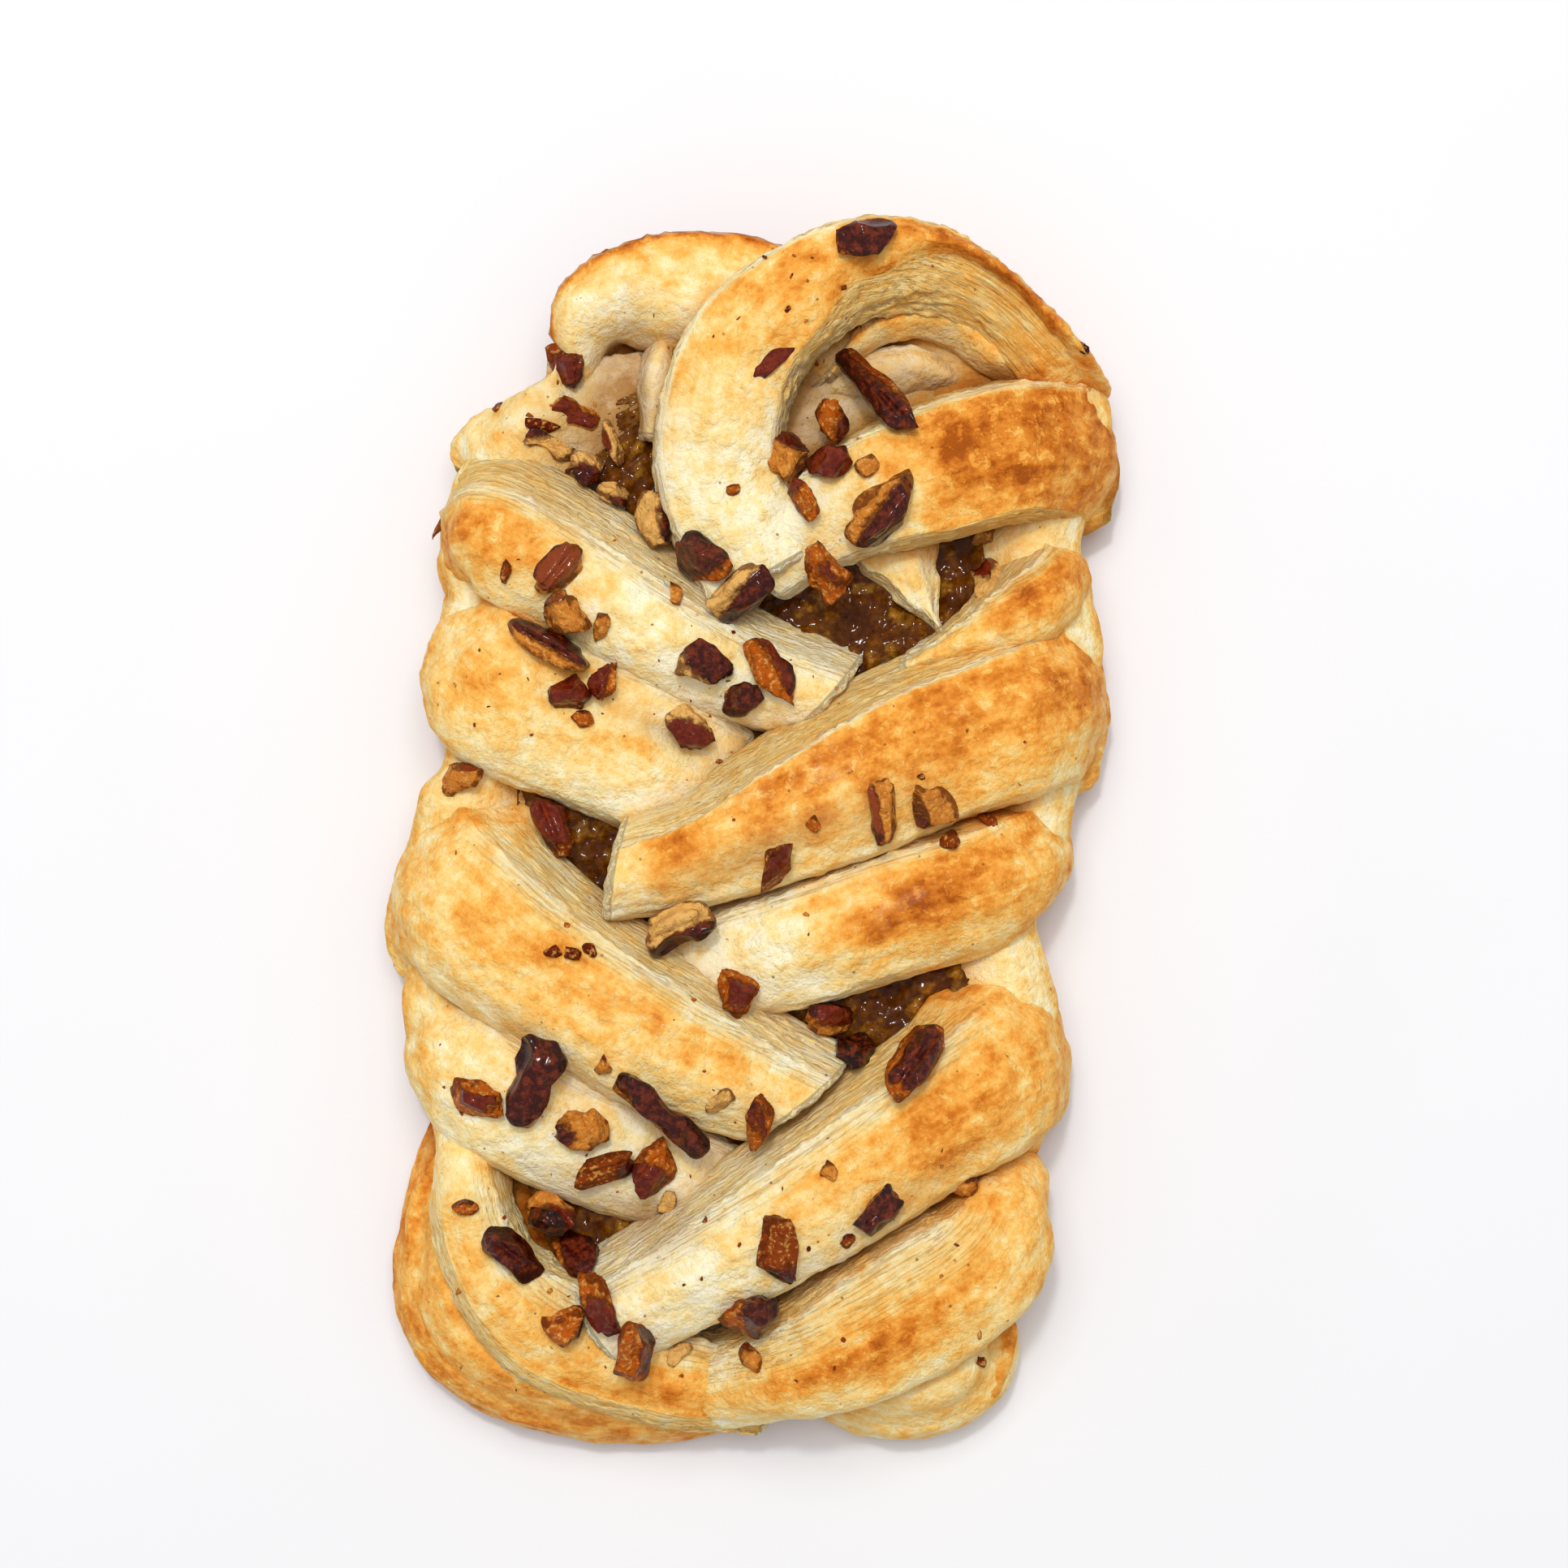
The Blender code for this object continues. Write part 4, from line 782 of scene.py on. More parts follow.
def strip_relief(strip, section, base, along, cut, salt):
    """(rise, gap): how far the surface rises at each point, and how deep it is between layers."""
    crust = section.on(CRUST)
    sunk = (section.across - section.across[:, :1]) * CRUST_LAYER_SLOPE
    depth = np.where(crust, section.thick + sunk, section.up)
    layered, gap = layers(depth, along, salt)
    layered = layered * strip.flaky + 0.14 * layered_noise(base, 1.6, 2, salt + 15)
    fade = np.interp(section.share, (0.0, 0.06, 0.94, 1.0), (0.5, 1.0, 1.0, 0.6))
    fray = 0.55 * unit(gradient_noise(base, 1.5, salt + 8) + 0.6 * gradient_noise(base, 0.7, salt + 7))
    wrinkles = crust_wrinkles(section, base, along, salt)
    rise = np.where(crust, wrinkles * (1 - 0.5 * cut) + layered * cut * 0.6, layered * fade * cut)
    rise = rise + np.where(cut < 0.01, wrinkles * ~crust, 0) + fray * edge_share(section)
    return np.where(section.on(UNDERSIDE), 0.0, rise), gap * min(1.0, strip.flaky + 0.15) * cut


def strip_object(number, strip):
    """One strip in place, with its cut faces in layers."""
    salt = SEED_STEP * number + FIRST_SEED
    root, outward_root = (None, None) if strip.root is None else strip_root(strip)
    centres = strip_centres(strip, root, outward_root)
    stations = range(len(centres))
    length = stations[-1] * STATION_STEP
    s = np.array(stations) / stations[-1]
    frames = [strip_frame(centres, i, strip, outward_root) for i in stations]
    forward, side, outward = (np.array(column)[:, None, :] for column in zip(*frames))
    section = Section(strip, s, length)
    slant = math.tan(math.radians(strip.skew)) * np.maximum(0, 2 * s - 1)[:, None]
    base = (np.array(centres)[:, None, :] + forward * (section.across * slant)[..., None]
            + side * section.across[..., None] + outward * section.lift[..., None])
    along = np.broadcast_to((s * length)[:, None], section.across.shape)
    rooted = joined(strip, s, length)
    cut = torn_share(strip, section) * (1 - rooted)
    rise, gap = strip_relief(strip, section, base, along, cut, salt)
    low = [RELIEF * noise.noise(Vector(p) / RELIEF_WAVELENGTH) for p in base.reshape(-1, 3)]
    normal_across, normal_up = section.normals()
    points = base + outward * (np.reshape(low, rise.shape) + normal_up * rise)[..., None]
    points = points + side * (normal_across * rise)[..., None]
    frayed = edge_share(section) * cut * unit(0.45 + 0.8 * gradient_noise(base, 2.2, salt + 12))
    rings = list(points)
    values = {"cut": list(cut), "gap": list(gap), "fray": list(frayed),
              "flow": list(np.stack([along, section.across, section.lift + FLOW_STEP * number], -1)),
              "brown": list(browning(strip, s, section, points, rooted)),
              "soak_and_shade": list(spread_over(points, SOAK_AND_SHADE_PATCHES)), "glaze": list(spread_over(points, GLAZED))}
    add_tip(rings, values, forward[-1, 0], section, salt, strip.brown[-1])
    points = np.concatenate(rings)
    points[:, 2] = np.maximum(points[:, 2], 0.0)
    values = {key: np.concatenate(value) for key, value in values.items()}
    return mesh_object("strip_" + strip.name, points, ring_faces(len(rings), len(section.kind), 1), values)


def add_tip(rings, values, forward, section, salt, brown):
    """Closes a strip with a rounded, layered end."""
    end = rings[-1]
    middle = end.mean(0)
    half = section.thick[-1] / 2
    for scale, reach in TIP_RINGS:
        ring = middle + (end - middle) * scale
        height = half + (section.up[-1] - half) * scale
        ridge, gap = ridges(height / LAYER_THICKNESS + 0.5 * gradient_noise(ring, 3.0, salt + 30))
        push = reach + 0.35 * ridge + 0.4 * gradient_noise(ring, 1.6, salt + 31)
        rings.append(ring + forward * push[:, None])
        more = {"cut": np.ones(len(ring)), "fray": np.full(len(ring), 0.5), "gap": gap * 0.6,
                "brown": np.full(len(ring), brown * 0.5), "soak_and_shade": spread_over(ring, SOAK_AND_SHADE_PATCHES),
                "glaze": spread_over(ring, GLAZED), "flow": np.column_stack([ring[:, :2], height])}
        for key, value in more.items():
            values[key].append(value)


def strip_frame(centres, i, strip, outward_root):
    """(forward, across, outward) unit vectors at a station. Across points to the upper edge, and
    at the root it follows the outline."""
    ahead = centres[min(i + FRAME_REACH, len(centres) - 1)]
    behind = centres[max(i - FRAME_REACH, 0)]
    forward = (ahead - behind).normalized()
    inward = Vector((ahead.x - behind.x, ahead.y - behind.y, 0))
    if outward_root is not None:
        rooted = max(0.0, 1 - i * STATION_STEP / ROOTED_LENGTH)
        inward = inward.normalized() * (1 - rooted) - outward_root * rooted
    across = inward.normalized().cross(UP) * strip.side
    across = (across - forward * across.dot(forward)).normalized()
    outward = forward.cross(across) * -strip.side
    return forward, across, outward


# -------- sheet and filling

def sheet_lowered(ring):
    """How much lower the sheet lies at each point of its outline."""
    bottom = unit((LOWERED_FROM - ring[:, 1]) / LOWERED_FADE)
    top = unit((ring[:, 1] - LOWERED_TOP_FROM[1]) / LOWERED_TOP_FADE)
    top_left = top * (ring[:, 0] < LOWERED_TOP_FROM[0])
    return SHEET_LOWERED * bottom + SHEET_LOWERED_TOP * top_left


def sheet_object():
    """The base sheet, with layers on its side."""
    outline = smooth_curve(flat_vectors(OUTLINE), closed=True, pieces=14)
    ring = np.array([[p.x, p.y] for p in outline])
    spine = np.stack([np.zeros(len(ring)), np.clip(ring[:, 1], -SPINE_HALF_LENGTH, SPINE_HALF_LENGTH)], -1)
    inward = spine - ring
    inward /= np.linalg.norm(inward, axis=1, keepdims=True)
    profile = smooth_curve(flat_vectors(SHEET_RINGS), pieces=9) + flat_vectors(SHEET_TOP_RINGS)
    lowered = sheet_lowered(ring)
    rings = []
    gaps = []
    browns = []
    for point in profile:
        high = unit((point.y - SIDE_KEPT) / SIDE_SPAN)
        height = max(point.y, 0.0) - lowered * high
        place = ring + inward * (point.x + 0.5 * lowered * high)[:, None]
        spot = np.column_stack([place, height])
        ridge, gap = ridges(height / LAYER_THICKNESS + 0.5 * gradient_noise(spot * (1, 1, 0.2), 8.0, 5))
        rise = (0.25 * ridge + 0.3 * layered_noise(spot, 5.0, 2, 6)) * (point.y > 0)
        rings.append(np.column_stack([place - inward * rise[:, None], height]))
        gaps.append(gap * 0.5)
        browns.append(np.full(len(ring), 0.42 if point.y < 12 else 0.22) + 0.06 * lowered)
    points = np.concatenate(rings)
    nothing = np.zeros(len(points))
    values = {"cut": nothing, "gap": np.concatenate(gaps), "flow": points, "fray": nothing,
              "brown": np.concatenate(browns), "soak_and_shade": spread_over(points, SOAK_AND_SHADE_PATCHES), "glaze": nothing}
    return mesh_object("pastry_sheet", points, ring_faces(len(rings), len(ring), 0), values)


def filling_flat(columns, rows):
    """The points of the filling seen from above: a grid that is narrower at both ends."""
    low, high = FILLING_ENDS
    j = np.arange(rows + 1) / rows
    i = np.arange(columns + 1) / columns
    half = FILLING_HALF_WIDTH * np.sqrt(1 - (2 * j - 1) ** 6 * 0.75)
    x = half[:, None] * (2 * i - 1)[None, :]
    y = np.broadcast_to((low + (high - low) * j)[:, None], x.shape)
    return np.stack([x, y, 0 * x], -1)


def filling_object():
    """The lumpy filling: chopped nut in dark syrup. Its grid of points has a foot all round it."""
    columns = round(2 * FILLING_HALF_WIDTH / FILLING_STEP)
    rows = round((FILLING_ENDS[1] - FILLING_ENDS[0]) / FILLING_STEP)
    flat = filling_flat(columns, rows)
    lumps = np.array([noise.noise(Vector((x, y, 0)) / 6.0) + 0.5 * noise.noise(Vector((x, y, 9)) / 2.8)
                      for x, y, _ in flat.reshape(-1, 3)]).reshape(flat.shape[:2])
    shifted = flat + 0.5 * gradient_noise(flat, 2.0, 3)[..., None]
    near, second, own = cell_distance(shifted, FILLING_CHUNK, 40)
    chunk = np.clip(second - near, 0, 0.6) / 0.6
    top = FILLING_TOP + FILLING_LUMPS * lumps + 0.55 * (chunk ** 0.5 - 0.7) + 0.35 * (own - 0.5)
    top += 0.25 * layered_noise(flat, 1.2, 3, 8)
    points = np.dstack([flat[..., :2], top]).reshape(-1, 3)
    index = np.arange(len(points)).reshape(rows + 1, columns + 1)
    quads = np.stack([index[:-1, :-1], index[:-1, 1:], index[1:, 1:], index[1:, :-1]], -1)
    faces = quads.reshape(-1, 4).tolist()
    ring = np.concatenate([index[0], index[1:, -1], index[-1, -2::-1], index[-2:0:-1, 0]])
    foot = points[ring]
    foot[:, 2] = FILLING_FLOOR
    under = len(points) + np.arange(len(ring))
    faces += np.stack([ring, under, np.roll(under, -1), np.roll(ring, -1)], -1).tolist()
    faces.append(under[::-1].tolist())
    tone = np.concatenate([own.ravel(), np.full(len(ring), 0.5)])
    # Painted shade: the creases between the chunks are darkened in the material.
    crease_shade = np.concatenate([(1 - chunk).ravel(), np.zeros(len(ring))])
    values = {"tone": tone, "crease_shade": crease_shade}
    return mesh_object("filling_syrup", np.concatenate([points, foot]), faces, values)


# -------- painted shade in hollows

def height_at(tree, x, y):
    """The height of the highest surface at (x, y), or 0 where there is none."""
    hit = tree.ray_cast(Vector((x, y, RAY_HEIGHT)), -UP)[0]
    return hit.z if hit else 0.0


def height_map(tree):
    """The height of the top of the plait over a grid, blurred: what lies round each place."""
    columns, rows = (round(2 * reach / MAP_STEP) + 1 for reach in MAP_REACH)
    heights = np.array([[height_at(tree, c * MAP_STEP - MAP_REACH[0], r * MAP_STEP - MAP_REACH[1])
                         for c in range(columns)] for r in range(rows)])
    reach = np.arange(-BLUR_CELLS, BLUR_CELLS + 1) * MAP_STEP
    weights = np.exp(-(reach / MAP_BLUR) ** 2 / 2)
    weights /= weights.sum()
    for axis in (0, 1):
        heights = np.apply_along_axis(np.convolve, axis, heights, weights, "same")
    return heights


def add_painted_shade(piece, around):
    """Gives a piece the attribute of painted shade in its hollows: how far each point lies below what is
    round it.
    """
    mesh = piece.data
    points = np.empty(len(mesh.vertices) * 3, np.float32)
    mesh.vertices.foreach_get("co", points)
    points = points.reshape(-1, 3) / MM
    place = (points[:, :2] + MAP_REACH) / MAP_STEP
    place = np.clip(place, 0, (around.shape[1] - 2, around.shape[0] - 2))
    low = place.astype(int)
    u, v = (place - low).T
    c, r = low.T
    height = ((around[r, c] * (1 - u) + around[r, c + 1] * u) * (1 - v)
              + (around[r + 1, c] * (1 - u) + around[r + 1, c + 1] * u) * v)
    painted_shade = unit((height - points[:, 2] - PAINTED_SHADE_FROM) / PAINTED_SHADE_SPAN)
    mesh.attributes.new("painted_shade", "FLOAT", "POINT").data.foreach_set("value", painted_shade.astype(np.float32))


# -------- nuts

# How many points a nut, a crumb and a speck have round them, and how many from end to end.
NUT_DETAIL = (56, 38)
CRUMB_DETAIL = (24, 16)
SPECK_DETAIL = (9, 6)

# The ground under a nut is taken at this share of its size, on both sides of its middle.
FOOT = 0.36

# Specks lie on crust that is at least this high, and whose normal points up at least this much.
SPECK_LOWEST = 12
SPECK_UPRIGHT = 0.6


def nut_shape(nut, sides, rings, seed):
    """A closed bmesh of one nut piece about its own centre, with its length along X: a rounded
    body, with flat cuts if it is a chunk or a slab, a waist, or a groove along the top of a half."""
    shape = bmesh.new()
    bmesh.ops.create_uvsphere(shape, u_segments=sides, v_segments=rings, radius=1.0)
    draw = random.Random(seed)
    cuts = []
    for _ in range(4):
        cut = Vector((draw.uniform(-1, 1), draw.uniform(-1, 1), draw.uniform(-0.2, 1)))
        cuts.append((cut.normalized(), draw.uniform(0.6, 0.85)))
    drift = Vector((draw.uniform(0, 9), draw.uniform(0, 9), seed))
    for vert in shape.verts:
        full = Vector([math.copysign(abs(c) ** FULLNESS, c) for c in vert.co])
        point = full * (1 + 0.35 * noise.noise(vert.co * 1.3 + drift))
        if nut.kind in ("chunk", "slab"):
            for direction, reach in cuts:
                point -= direction * max(0.0, point.dot(direction) - reach)
            point *= 1.12
        if nut.kind == "waist":
            point.y *= 1 - 0.3 * math.exp(-(point.x / 0.3) ** 2)
        if nut.kind == "half" and point.z > 0:
            point.z *= 1 - 0.3 * math.exp(-(point.y / 0.22) ** 2)
        vert.co = point
    for axis, size in enumerate((nut.long, nut.wide, nut.tall)):
        low = min(vert.co[axis] for vert in shape.verts)
        high = max(vert.co[axis] for vert in shape.verts)
        for vert in shape.verts:
            vert.co[axis] = size * ((vert.co[axis] - low) / (high - low) - 0.5)
    return shape


def slopes(tree, nut, x, y):
    """(rise along it, rise across it, middle height) of the ground under a nut at (x, y)."""
    angle = math.radians(nut.turn)
    along = Vector((math.cos(angle), math.sin(angle), 0))
    aside = along.cross(-UP)
    heights = {}
    for u, v in product((-1, 0, 1), repeat=2):
        place = Vector((x, y, 0)) + along * (u * nut.long * FOOT) + aside * (v * nut.wide * FOOT)
        heights[u, v] = height_at(tree, place.x, place.y)
    rise_along = sum(heights[1, k] - heights[-1, k] for k in (-1, 0, 1)) / (3 * (2 * FOOT) * nut.long)
    rise_aside = sum(heights[k, 1] - heights[k, -1] for k in (-1, 0, 1)) / (3 * (2 * FOOT) * nut.wide)
    return (min(max(rise_along, -STEEPEST), STEEPEST), min(max(rise_aside, -STEEPEST), STEEPEST),
            sorted(heights.values())[len(heights) // 2])


def skin_depth(points, nut, size):
    """How far inside the skin's part of the nut each point is, or below 0 how far outside it."""
    x, y, z = (points / size * 2).T
    if nut.side is None:
        reach = z
    else:
        angle = math.radians(nut.side - nut.turn)
        reach = 0.85 * (x * math.cos(angle) + y * math.sin(angle)) + 0.25 * z
    order = np.sort(reach[points[:, 2] > -0.1 * size[2]])
    edge = order[int((1 - min(nut.share, 0.999)) * (len(order) - 1))] if nut.share < 1 else -FAR
    return reach - edge


def chipped(points, nut, size, seed):
    """A nut's broken surface: flat chips all over, and one or three bites out of its sides."""
    draw = random.Random(seed + 500)
    whole = nut.share > 0.75 or nut.kind in ("half", "waist")
    chips = 2 if nut.kind == "waist" else 6 if whole else 18
    bites = 1 if whole else 3
    for _ in range(chips):
        way = np.array([draw.gauss(0, 1) for _ in range(3)]) / size
        way /= np.linalg.norm(way)
        reach = points @ way
        limit = reach.max() - draw.uniform(0.05, 0.2) * (reach.max() - reach.min())
        points = points - way * np.maximum(0, reach - limit)[:, None]
    for _ in range(bites):
        angle = draw.uniform(0, 2 * math.pi)
        radius = draw.uniform(0.35, 0.6) * nut.wide
        middle = np.array([math.cos(angle) * nut.long / 2, math.sin(angle) * nut.wide / 2, nut.tall * 0.3])
        middle *= 1 + radius * draw.uniform(0.35, 0.7) / np.linalg.norm(middle)
        offset = points - middle
        distance = np.linalg.norm(offset, axis=1, keepdims=True)
        points = np.where(distance < radius, middle + offset / distance * radius, points)
    return points


def roughened(points, nut, size, seed):
    """A nut's surface with wrinkles along its length, broken steps and pits."""
    normal = points / size ** 2
    normal /= np.linalg.norm(normal, axis=1, keepdims=True) + 1e-9
    wrinkle = np.abs(gradient_noise(points * (0.3, 1, 1), 1.3, seed)) - 0.3
    bumps = layered_noise(points, 1.7, 3, seed + 3)
    near, second, own = cell_distance(points, min(2.4, 0.5 * nut.wide), seed)
    step = (own - 0.5) * unit((second - near) * 5)
    broken = 0.15 if nut.kind in ("chunk", "slab") and nut.share < 0.75 else 0.05
    return points + normal * (0.2 * wrinkle + 0.14 * bumps + broken * nut.wide * step)[:, None]


def nut_mesh(nut, seed, detail):
    """(points, faces, values) of a detailed nut about its own centre."""
    shape = nut_shape(nut, *detail, seed)
    points = np.array([list(vert.co) for vert in shape.verts])
    faces = [tuple(vert.index for vert in face.verts) for face in shape.faces]
    shape.free()
    size = np.array([nut.long, nut.wide, nut.tall])
    # The attribute "rim" is 1 at the nut's outline seen from above, where the material paints shade.
    values = {"skin": skin_depth(points, nut, size),
              "rim": np.hypot(points[:, 0] / nut.long, points[:, 1] / nut.wide) * 2}
    for key, colour in (("flesh_colour", nut.flesh), ("skin_colour", nut.skin)):
        values[key] = np.tile([*linear(NUT_COLOURS[colour]), 1.0], (len(points), 1))
    return roughened(chipped(points, nut, size, seed), nut, size, seed), faces, values


def tilted(points, nut, rises):
    """The points turned to the nut's direction and sheared to the ground's slope."""
    turn = math.radians(nut.turn)
    x = points[:, 0] * math.cos(turn) - points[:, 1] * math.sin(turn)
    y = points[:, 0] * math.sin(turn) + points[:, 1] * math.cos(turn)
    z = points[:, 2] + rises[0] * points[:, 0] + rises[1] * points[:, 1]
    return np.stack([x, y, z], -1)


def pecan_object(number, tree):
    """A pecan piece in the place of its solid."""
    nut = NUTS[number]
    node = f"pecan_{number + 1:02d}"
    low, high = (np.array(corner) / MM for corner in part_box(node))
    rises = slopes(tree, nut, (low[0] + high[0]) / 2, (low[1] + high[1]) / 2)
    points, faces, values = nut_mesh(nut, number + 1, NUT_DETAIL)
    points = tilted(points, nut, rises)
    own_low = points.min(0)
    own_high = points.max(0)
    points = points - (own_low + own_high) / 2
    points[:, :2] *= (high - low)[:2] / (own_high - own_low)[:2]
    points[:, :2] += (low[:2] + high[:2]) / 2
    points[:, 2] += high[2] - points[:, 2].max()
    made = mesh_object("nut_" + node, points, faces, values)
    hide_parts(node)
    return made


def surface_tree(objects):
    """A tree of the objects' surfaces, in millimetres, without their large end faces."""
    points = []
    faces = []
    for piece in objects:
        first = len(points)
        points += [vert.co / MM for vert in piece.data.vertices]
        faces += [[first + i for i in polygon.vertices] for polygon in piece.data.polygons
                  if len(polygon.vertices) == 4]
    return BVHTree.FromPolygons(points, faces)


def joined_nuts(name, placed):
    """One object of many small nut pieces, given as (points, faces, values)."""
    points = []
    faces = []
    values = {key: [] for key in placed[0][2]}
    first = 0
    for own_points, own_faces, own_values in placed:
        points.append(own_points)
        faces += [tuple(first + i for i in face) for face in own_faces]
        for key, value in own_values.items():
            values[key].append(value)
        first += len(own_points)
    values = {key: np.concatenate(value) for key, value in values.items()}
    return mesh_object(name, np.concatenate(points), faces, values)


def laid(nut, seed, tree, detail):
    """(points, faces, values) of a small nut piece that lies on the pastry."""
    rises = slopes(tree, nut, nut.x, nut.y)
    points, faces, values = nut_mesh(nut, seed, detail)
    if nut.share == 0:
        values["skin"] = values["skin"] * 0 - 1
    points = tilted(points, nut, rises) + (nut.x, nut.y, rises[2] + nut.tall * (0.5 - SUNK))
    return points, faces, values


def crumbs_object(tree):
    """The small nut pieces that are stuck to the pastry."""
    placed = []
    for number, (x, y, long, wide, turn, colour) in enumerate(CRUMBS):
        share = 0.12 if colour in ("tan", "orange", "brown") else 0
        nut = Nut(x, y, long, wide, turn, wide * CRUMB_TALL, colour, "red", 90, share)
        placed.append(laid(nut, number + 100, tree, CRUMB_DETAIL))
    return joined_nuts("crumbs", placed)


def specks_object(tree):
    """The specks of nut that are scattered over the crust: some with a place, the rest at random."""
    draw = random.Random(11)
    specks = list(SPECKS)
    while len(specks) < SPECK_COUNT:
        near = draw.choice(NUTS)
        spread = draw.choice((4, 8, 16))
        x = near.x + draw.gauss(0, spread)
        y = near.y + draw.gauss(0, spread)
        place, normal = tree.ray_cast(Vector((x, y, RAY_HEIGHT)), -UP)[:2]
        if place is not None and place.z > SPECK_LOWEST and normal.z > SPECK_UPRIGHT:
            specks.append((x, y, min(1.1, draw.lognormvariate(-0.9, 0.4))))
    placed = []
    for number, (x, y, size) in enumerate(specks):
        colour = draw.choice(("brown", "red", "orange", "tan", "brown"))
        nut = Nut(x, y, size, size * draw.uniform(0.45, 0.9), draw.uniform(0, 180),
                  size * draw.uniform(0.3, 0.6), colour, "red", 90, 0)
        placed.append(laid(nut, number + 200, tree, SPECK_DETAIL))
    return joined_nuts("specks", placed)


# -------- materials

class Graph:
    """A short way to build a material's nodes."""

    def __init__(self, name):
        self.material = bpy.data.materials.new(name)
        self.material.use_nodes = True
        self.tree = self.material.node_tree
        self.shader = self.tree.nodes["Principled BSDF"]
        self.place = self.times(self.node("ShaderNodeTexCoord").outputs["Object"], (1 / MM,) * 3)

    def give(self, socket, value):
        if isinstance(value, bpy.types.NodeSocket):
            self.tree.links.new(value, socket)
        else:
            socket.default_value = value

    def shade(self, inputs):
        for key, value in inputs.items():
            self.give(self.shader.inputs[key], value)

    def node(self, kind, inputs=None, **settings):
        made = self.tree.nodes.new(kind)
        for key, value in settings.items():
            setattr(made, key, value)
        for key, value in (inputs or {}).items():
            self.give(made.inputs[key], value)
        return made

    def attribute(self, name, output="Fac"):
        return self.node("ShaderNodeAttribute", attribute_name=name).outputs[output]

    def math(self, operation, a, b=0.0, c=0.0, clamp=False):
        inputs = {0: a, 1: b, 2: c}
        return self.node("ShaderNodeMath", inputs, operation=operation, use_clamp=clamp).outputs[0]

    def scaled(self, a, b):
        return self.math("MULTIPLY", a, b)

    def about(self, value, middle, size):
        """The value's distance from its middle, times a size."""
        return self.scaled(self.math("SUBTRACT", value, middle), size)

    def total(self, *values):
        found = values[0]
        for value in values[1:]:
            found = self.math("ADD", found, value)
        return found

    def times(self, vector, scale):
        return self.node("ShaderNodeVectorMath", {0: vector, 1: scale}, operation="MULTIPLY").outputs[0]

    def noise(self, scale, detail=3.0, roughness=0.55, vector=None):
        return self.node("ShaderNodeTexNoise", {"Vector": vector or self.place, "Scale": scale,
                                                "Detail": detail, "Roughness": roughness}).outputs["Fac"]

    def voronoi(self, scale, vector=None):
        inputs = {"Vector": vector or self.place, "Scale": scale}
        return self.node("ShaderNodeTexVoronoi", inputs).outputs["Distance"]

    def span(self, value, low, high, to_low=0.0, to_high=1.0):
        inputs = {"Value": value, "From Min": low, "From Max": high, "To Min": to_low, "To Max": to_high}
        return self.node("ShaderNodeMapRange", inputs, interpolation_type="SMOOTHSTEP").outputs[0]

    def mix(self, share, a, b, blend_type="MIX"):
        made = self.node("ShaderNodeMix", data_type="RGBA", blend_type=blend_type)
        self.give(made.inputs[0], share)
        for index, value in ((6, a), (7, b)):
            self.give(made.inputs[index], (*value, 1.0) if isinstance(value, tuple) else value)
        return made.outputs[2]

    def ramp(self, value, stops):
        made = self.node("ShaderNodeValToRGB", {"Fac": value})
        line = made.color_ramp
        while len(line.elements) < len(stops):
            line.elements.new(0.5)
        for element, (place, colour) in zip(line.elements, stops):
            element.position = place
            element.color = (*linear(colour), 1.0)
        return made.outputs["Color"]

    def bump(self, height, distance, strength=1.0):
        inputs = {"Height": height, "Distance": distance, "Strength": strength}
        return self.node("ShaderNodeBump", inputs).outputs["Normal"]


# The colours of baked dough, from pale to dark, and those of syrup with nut: (place, sRGB colour).
BAKED = ((0.0, (254, 242, 206)), (0.14, (253, 229, 168)), (0.3, (251, 210, 130)), (0.45, (247, 187, 92)),
         (0.6, (238, 162, 66)), (0.74, (220, 134, 44)), (0.88, (197, 110, 30)), (1.0, (168, 84, 20)))
SYRUP = ((0.0, (86, 40, 1)), (0.35, (114, 60, 3)), (0.7, (144, 84, 8)), (1.0, (186, 130, 38)))

# What the colour of a hollow is multiplied by, as painted shade, and the other tones of the pastry.
PAINTED_SHADE_TINT = (0.6, 0.37, 0.17)
# Painted shade in the gaps between layers and in the pits of a cut face.
LAYER_GAP_SHADE = tint(222, 150, 70)
LAYER_LINE = tint(236, 172, 86)
FRAYED = tint(255, 246, 212)
DARK_SPECK = tint(140, 72, 34)
# Syrup-soaked dough, also used as painted shade where the soaked patches lie in hollows.
SOAKED_AND_SHADED = tint(182, 138, 84)
# Painted shade in the creases between the filling's chunks.
SYRUP_CREASE_SHADE = tint(64, 26, 2)

# The tones of a pecan's broken flesh, of its edges by the skin and of its skin; the edge tones also paint
# shade at the nut's outline.
FLESH_DARK = tint(136, 58, 6)
FLESH_PALE = tint(234, 174, 88)
FLESH_FLECK = tint(82, 30, 6)
FLESH_EDGE_AND_SHADE = tint(92, 34, 5)
SKIN_PALE = tint(150, 60, 26)
SKIN_OUTLINE_SHADE = tint(30, 5, 3)


def crust_tone(g, brown, broad, patch, grain, drawn, blister):
    """The place of the crust's colour among the baked ones."""
    swing = g.total(g.about(broad, 0.5, 1.2), g.about(patch, 0.5, 1.4), g.about(grain, 0.5, 0.8),
                    g.about(drawn, 0.5, 0.9))
    return g.total(brown, g.scaled(swing, g.math("MULTIPLY_ADD", brown, 0.2, 0.5)),
                   g.scaled(g.scaled(blister, brown), -0.3))


def face_colour(g, brown, streaks, patch, grain, pit, line):
    """The colour of a cut face: streaks along its layers, with lines between them, and painted shade in
    the gaps and pits between them.
    """
    tone = g.total(brown, g.about(streaks, 0.48, 0.7), g.about(patch, 0.5, 0.5), g.about(grain, 0.5, 0.4))
    face = g.ramp(g.math("ADD", tone, 0.0, clamp=True), BAKED)
    gap_shade_share = g.math("MAXIMUM", g.scaled(g.attribute("gap"), 0.6), g.scaled(pit, 0.4))
    return g.mix(g.scaled(line, 0.45), g.mix(gap_shade_share, face, LAYER_GAP_SHADE), LAYER_LINE)


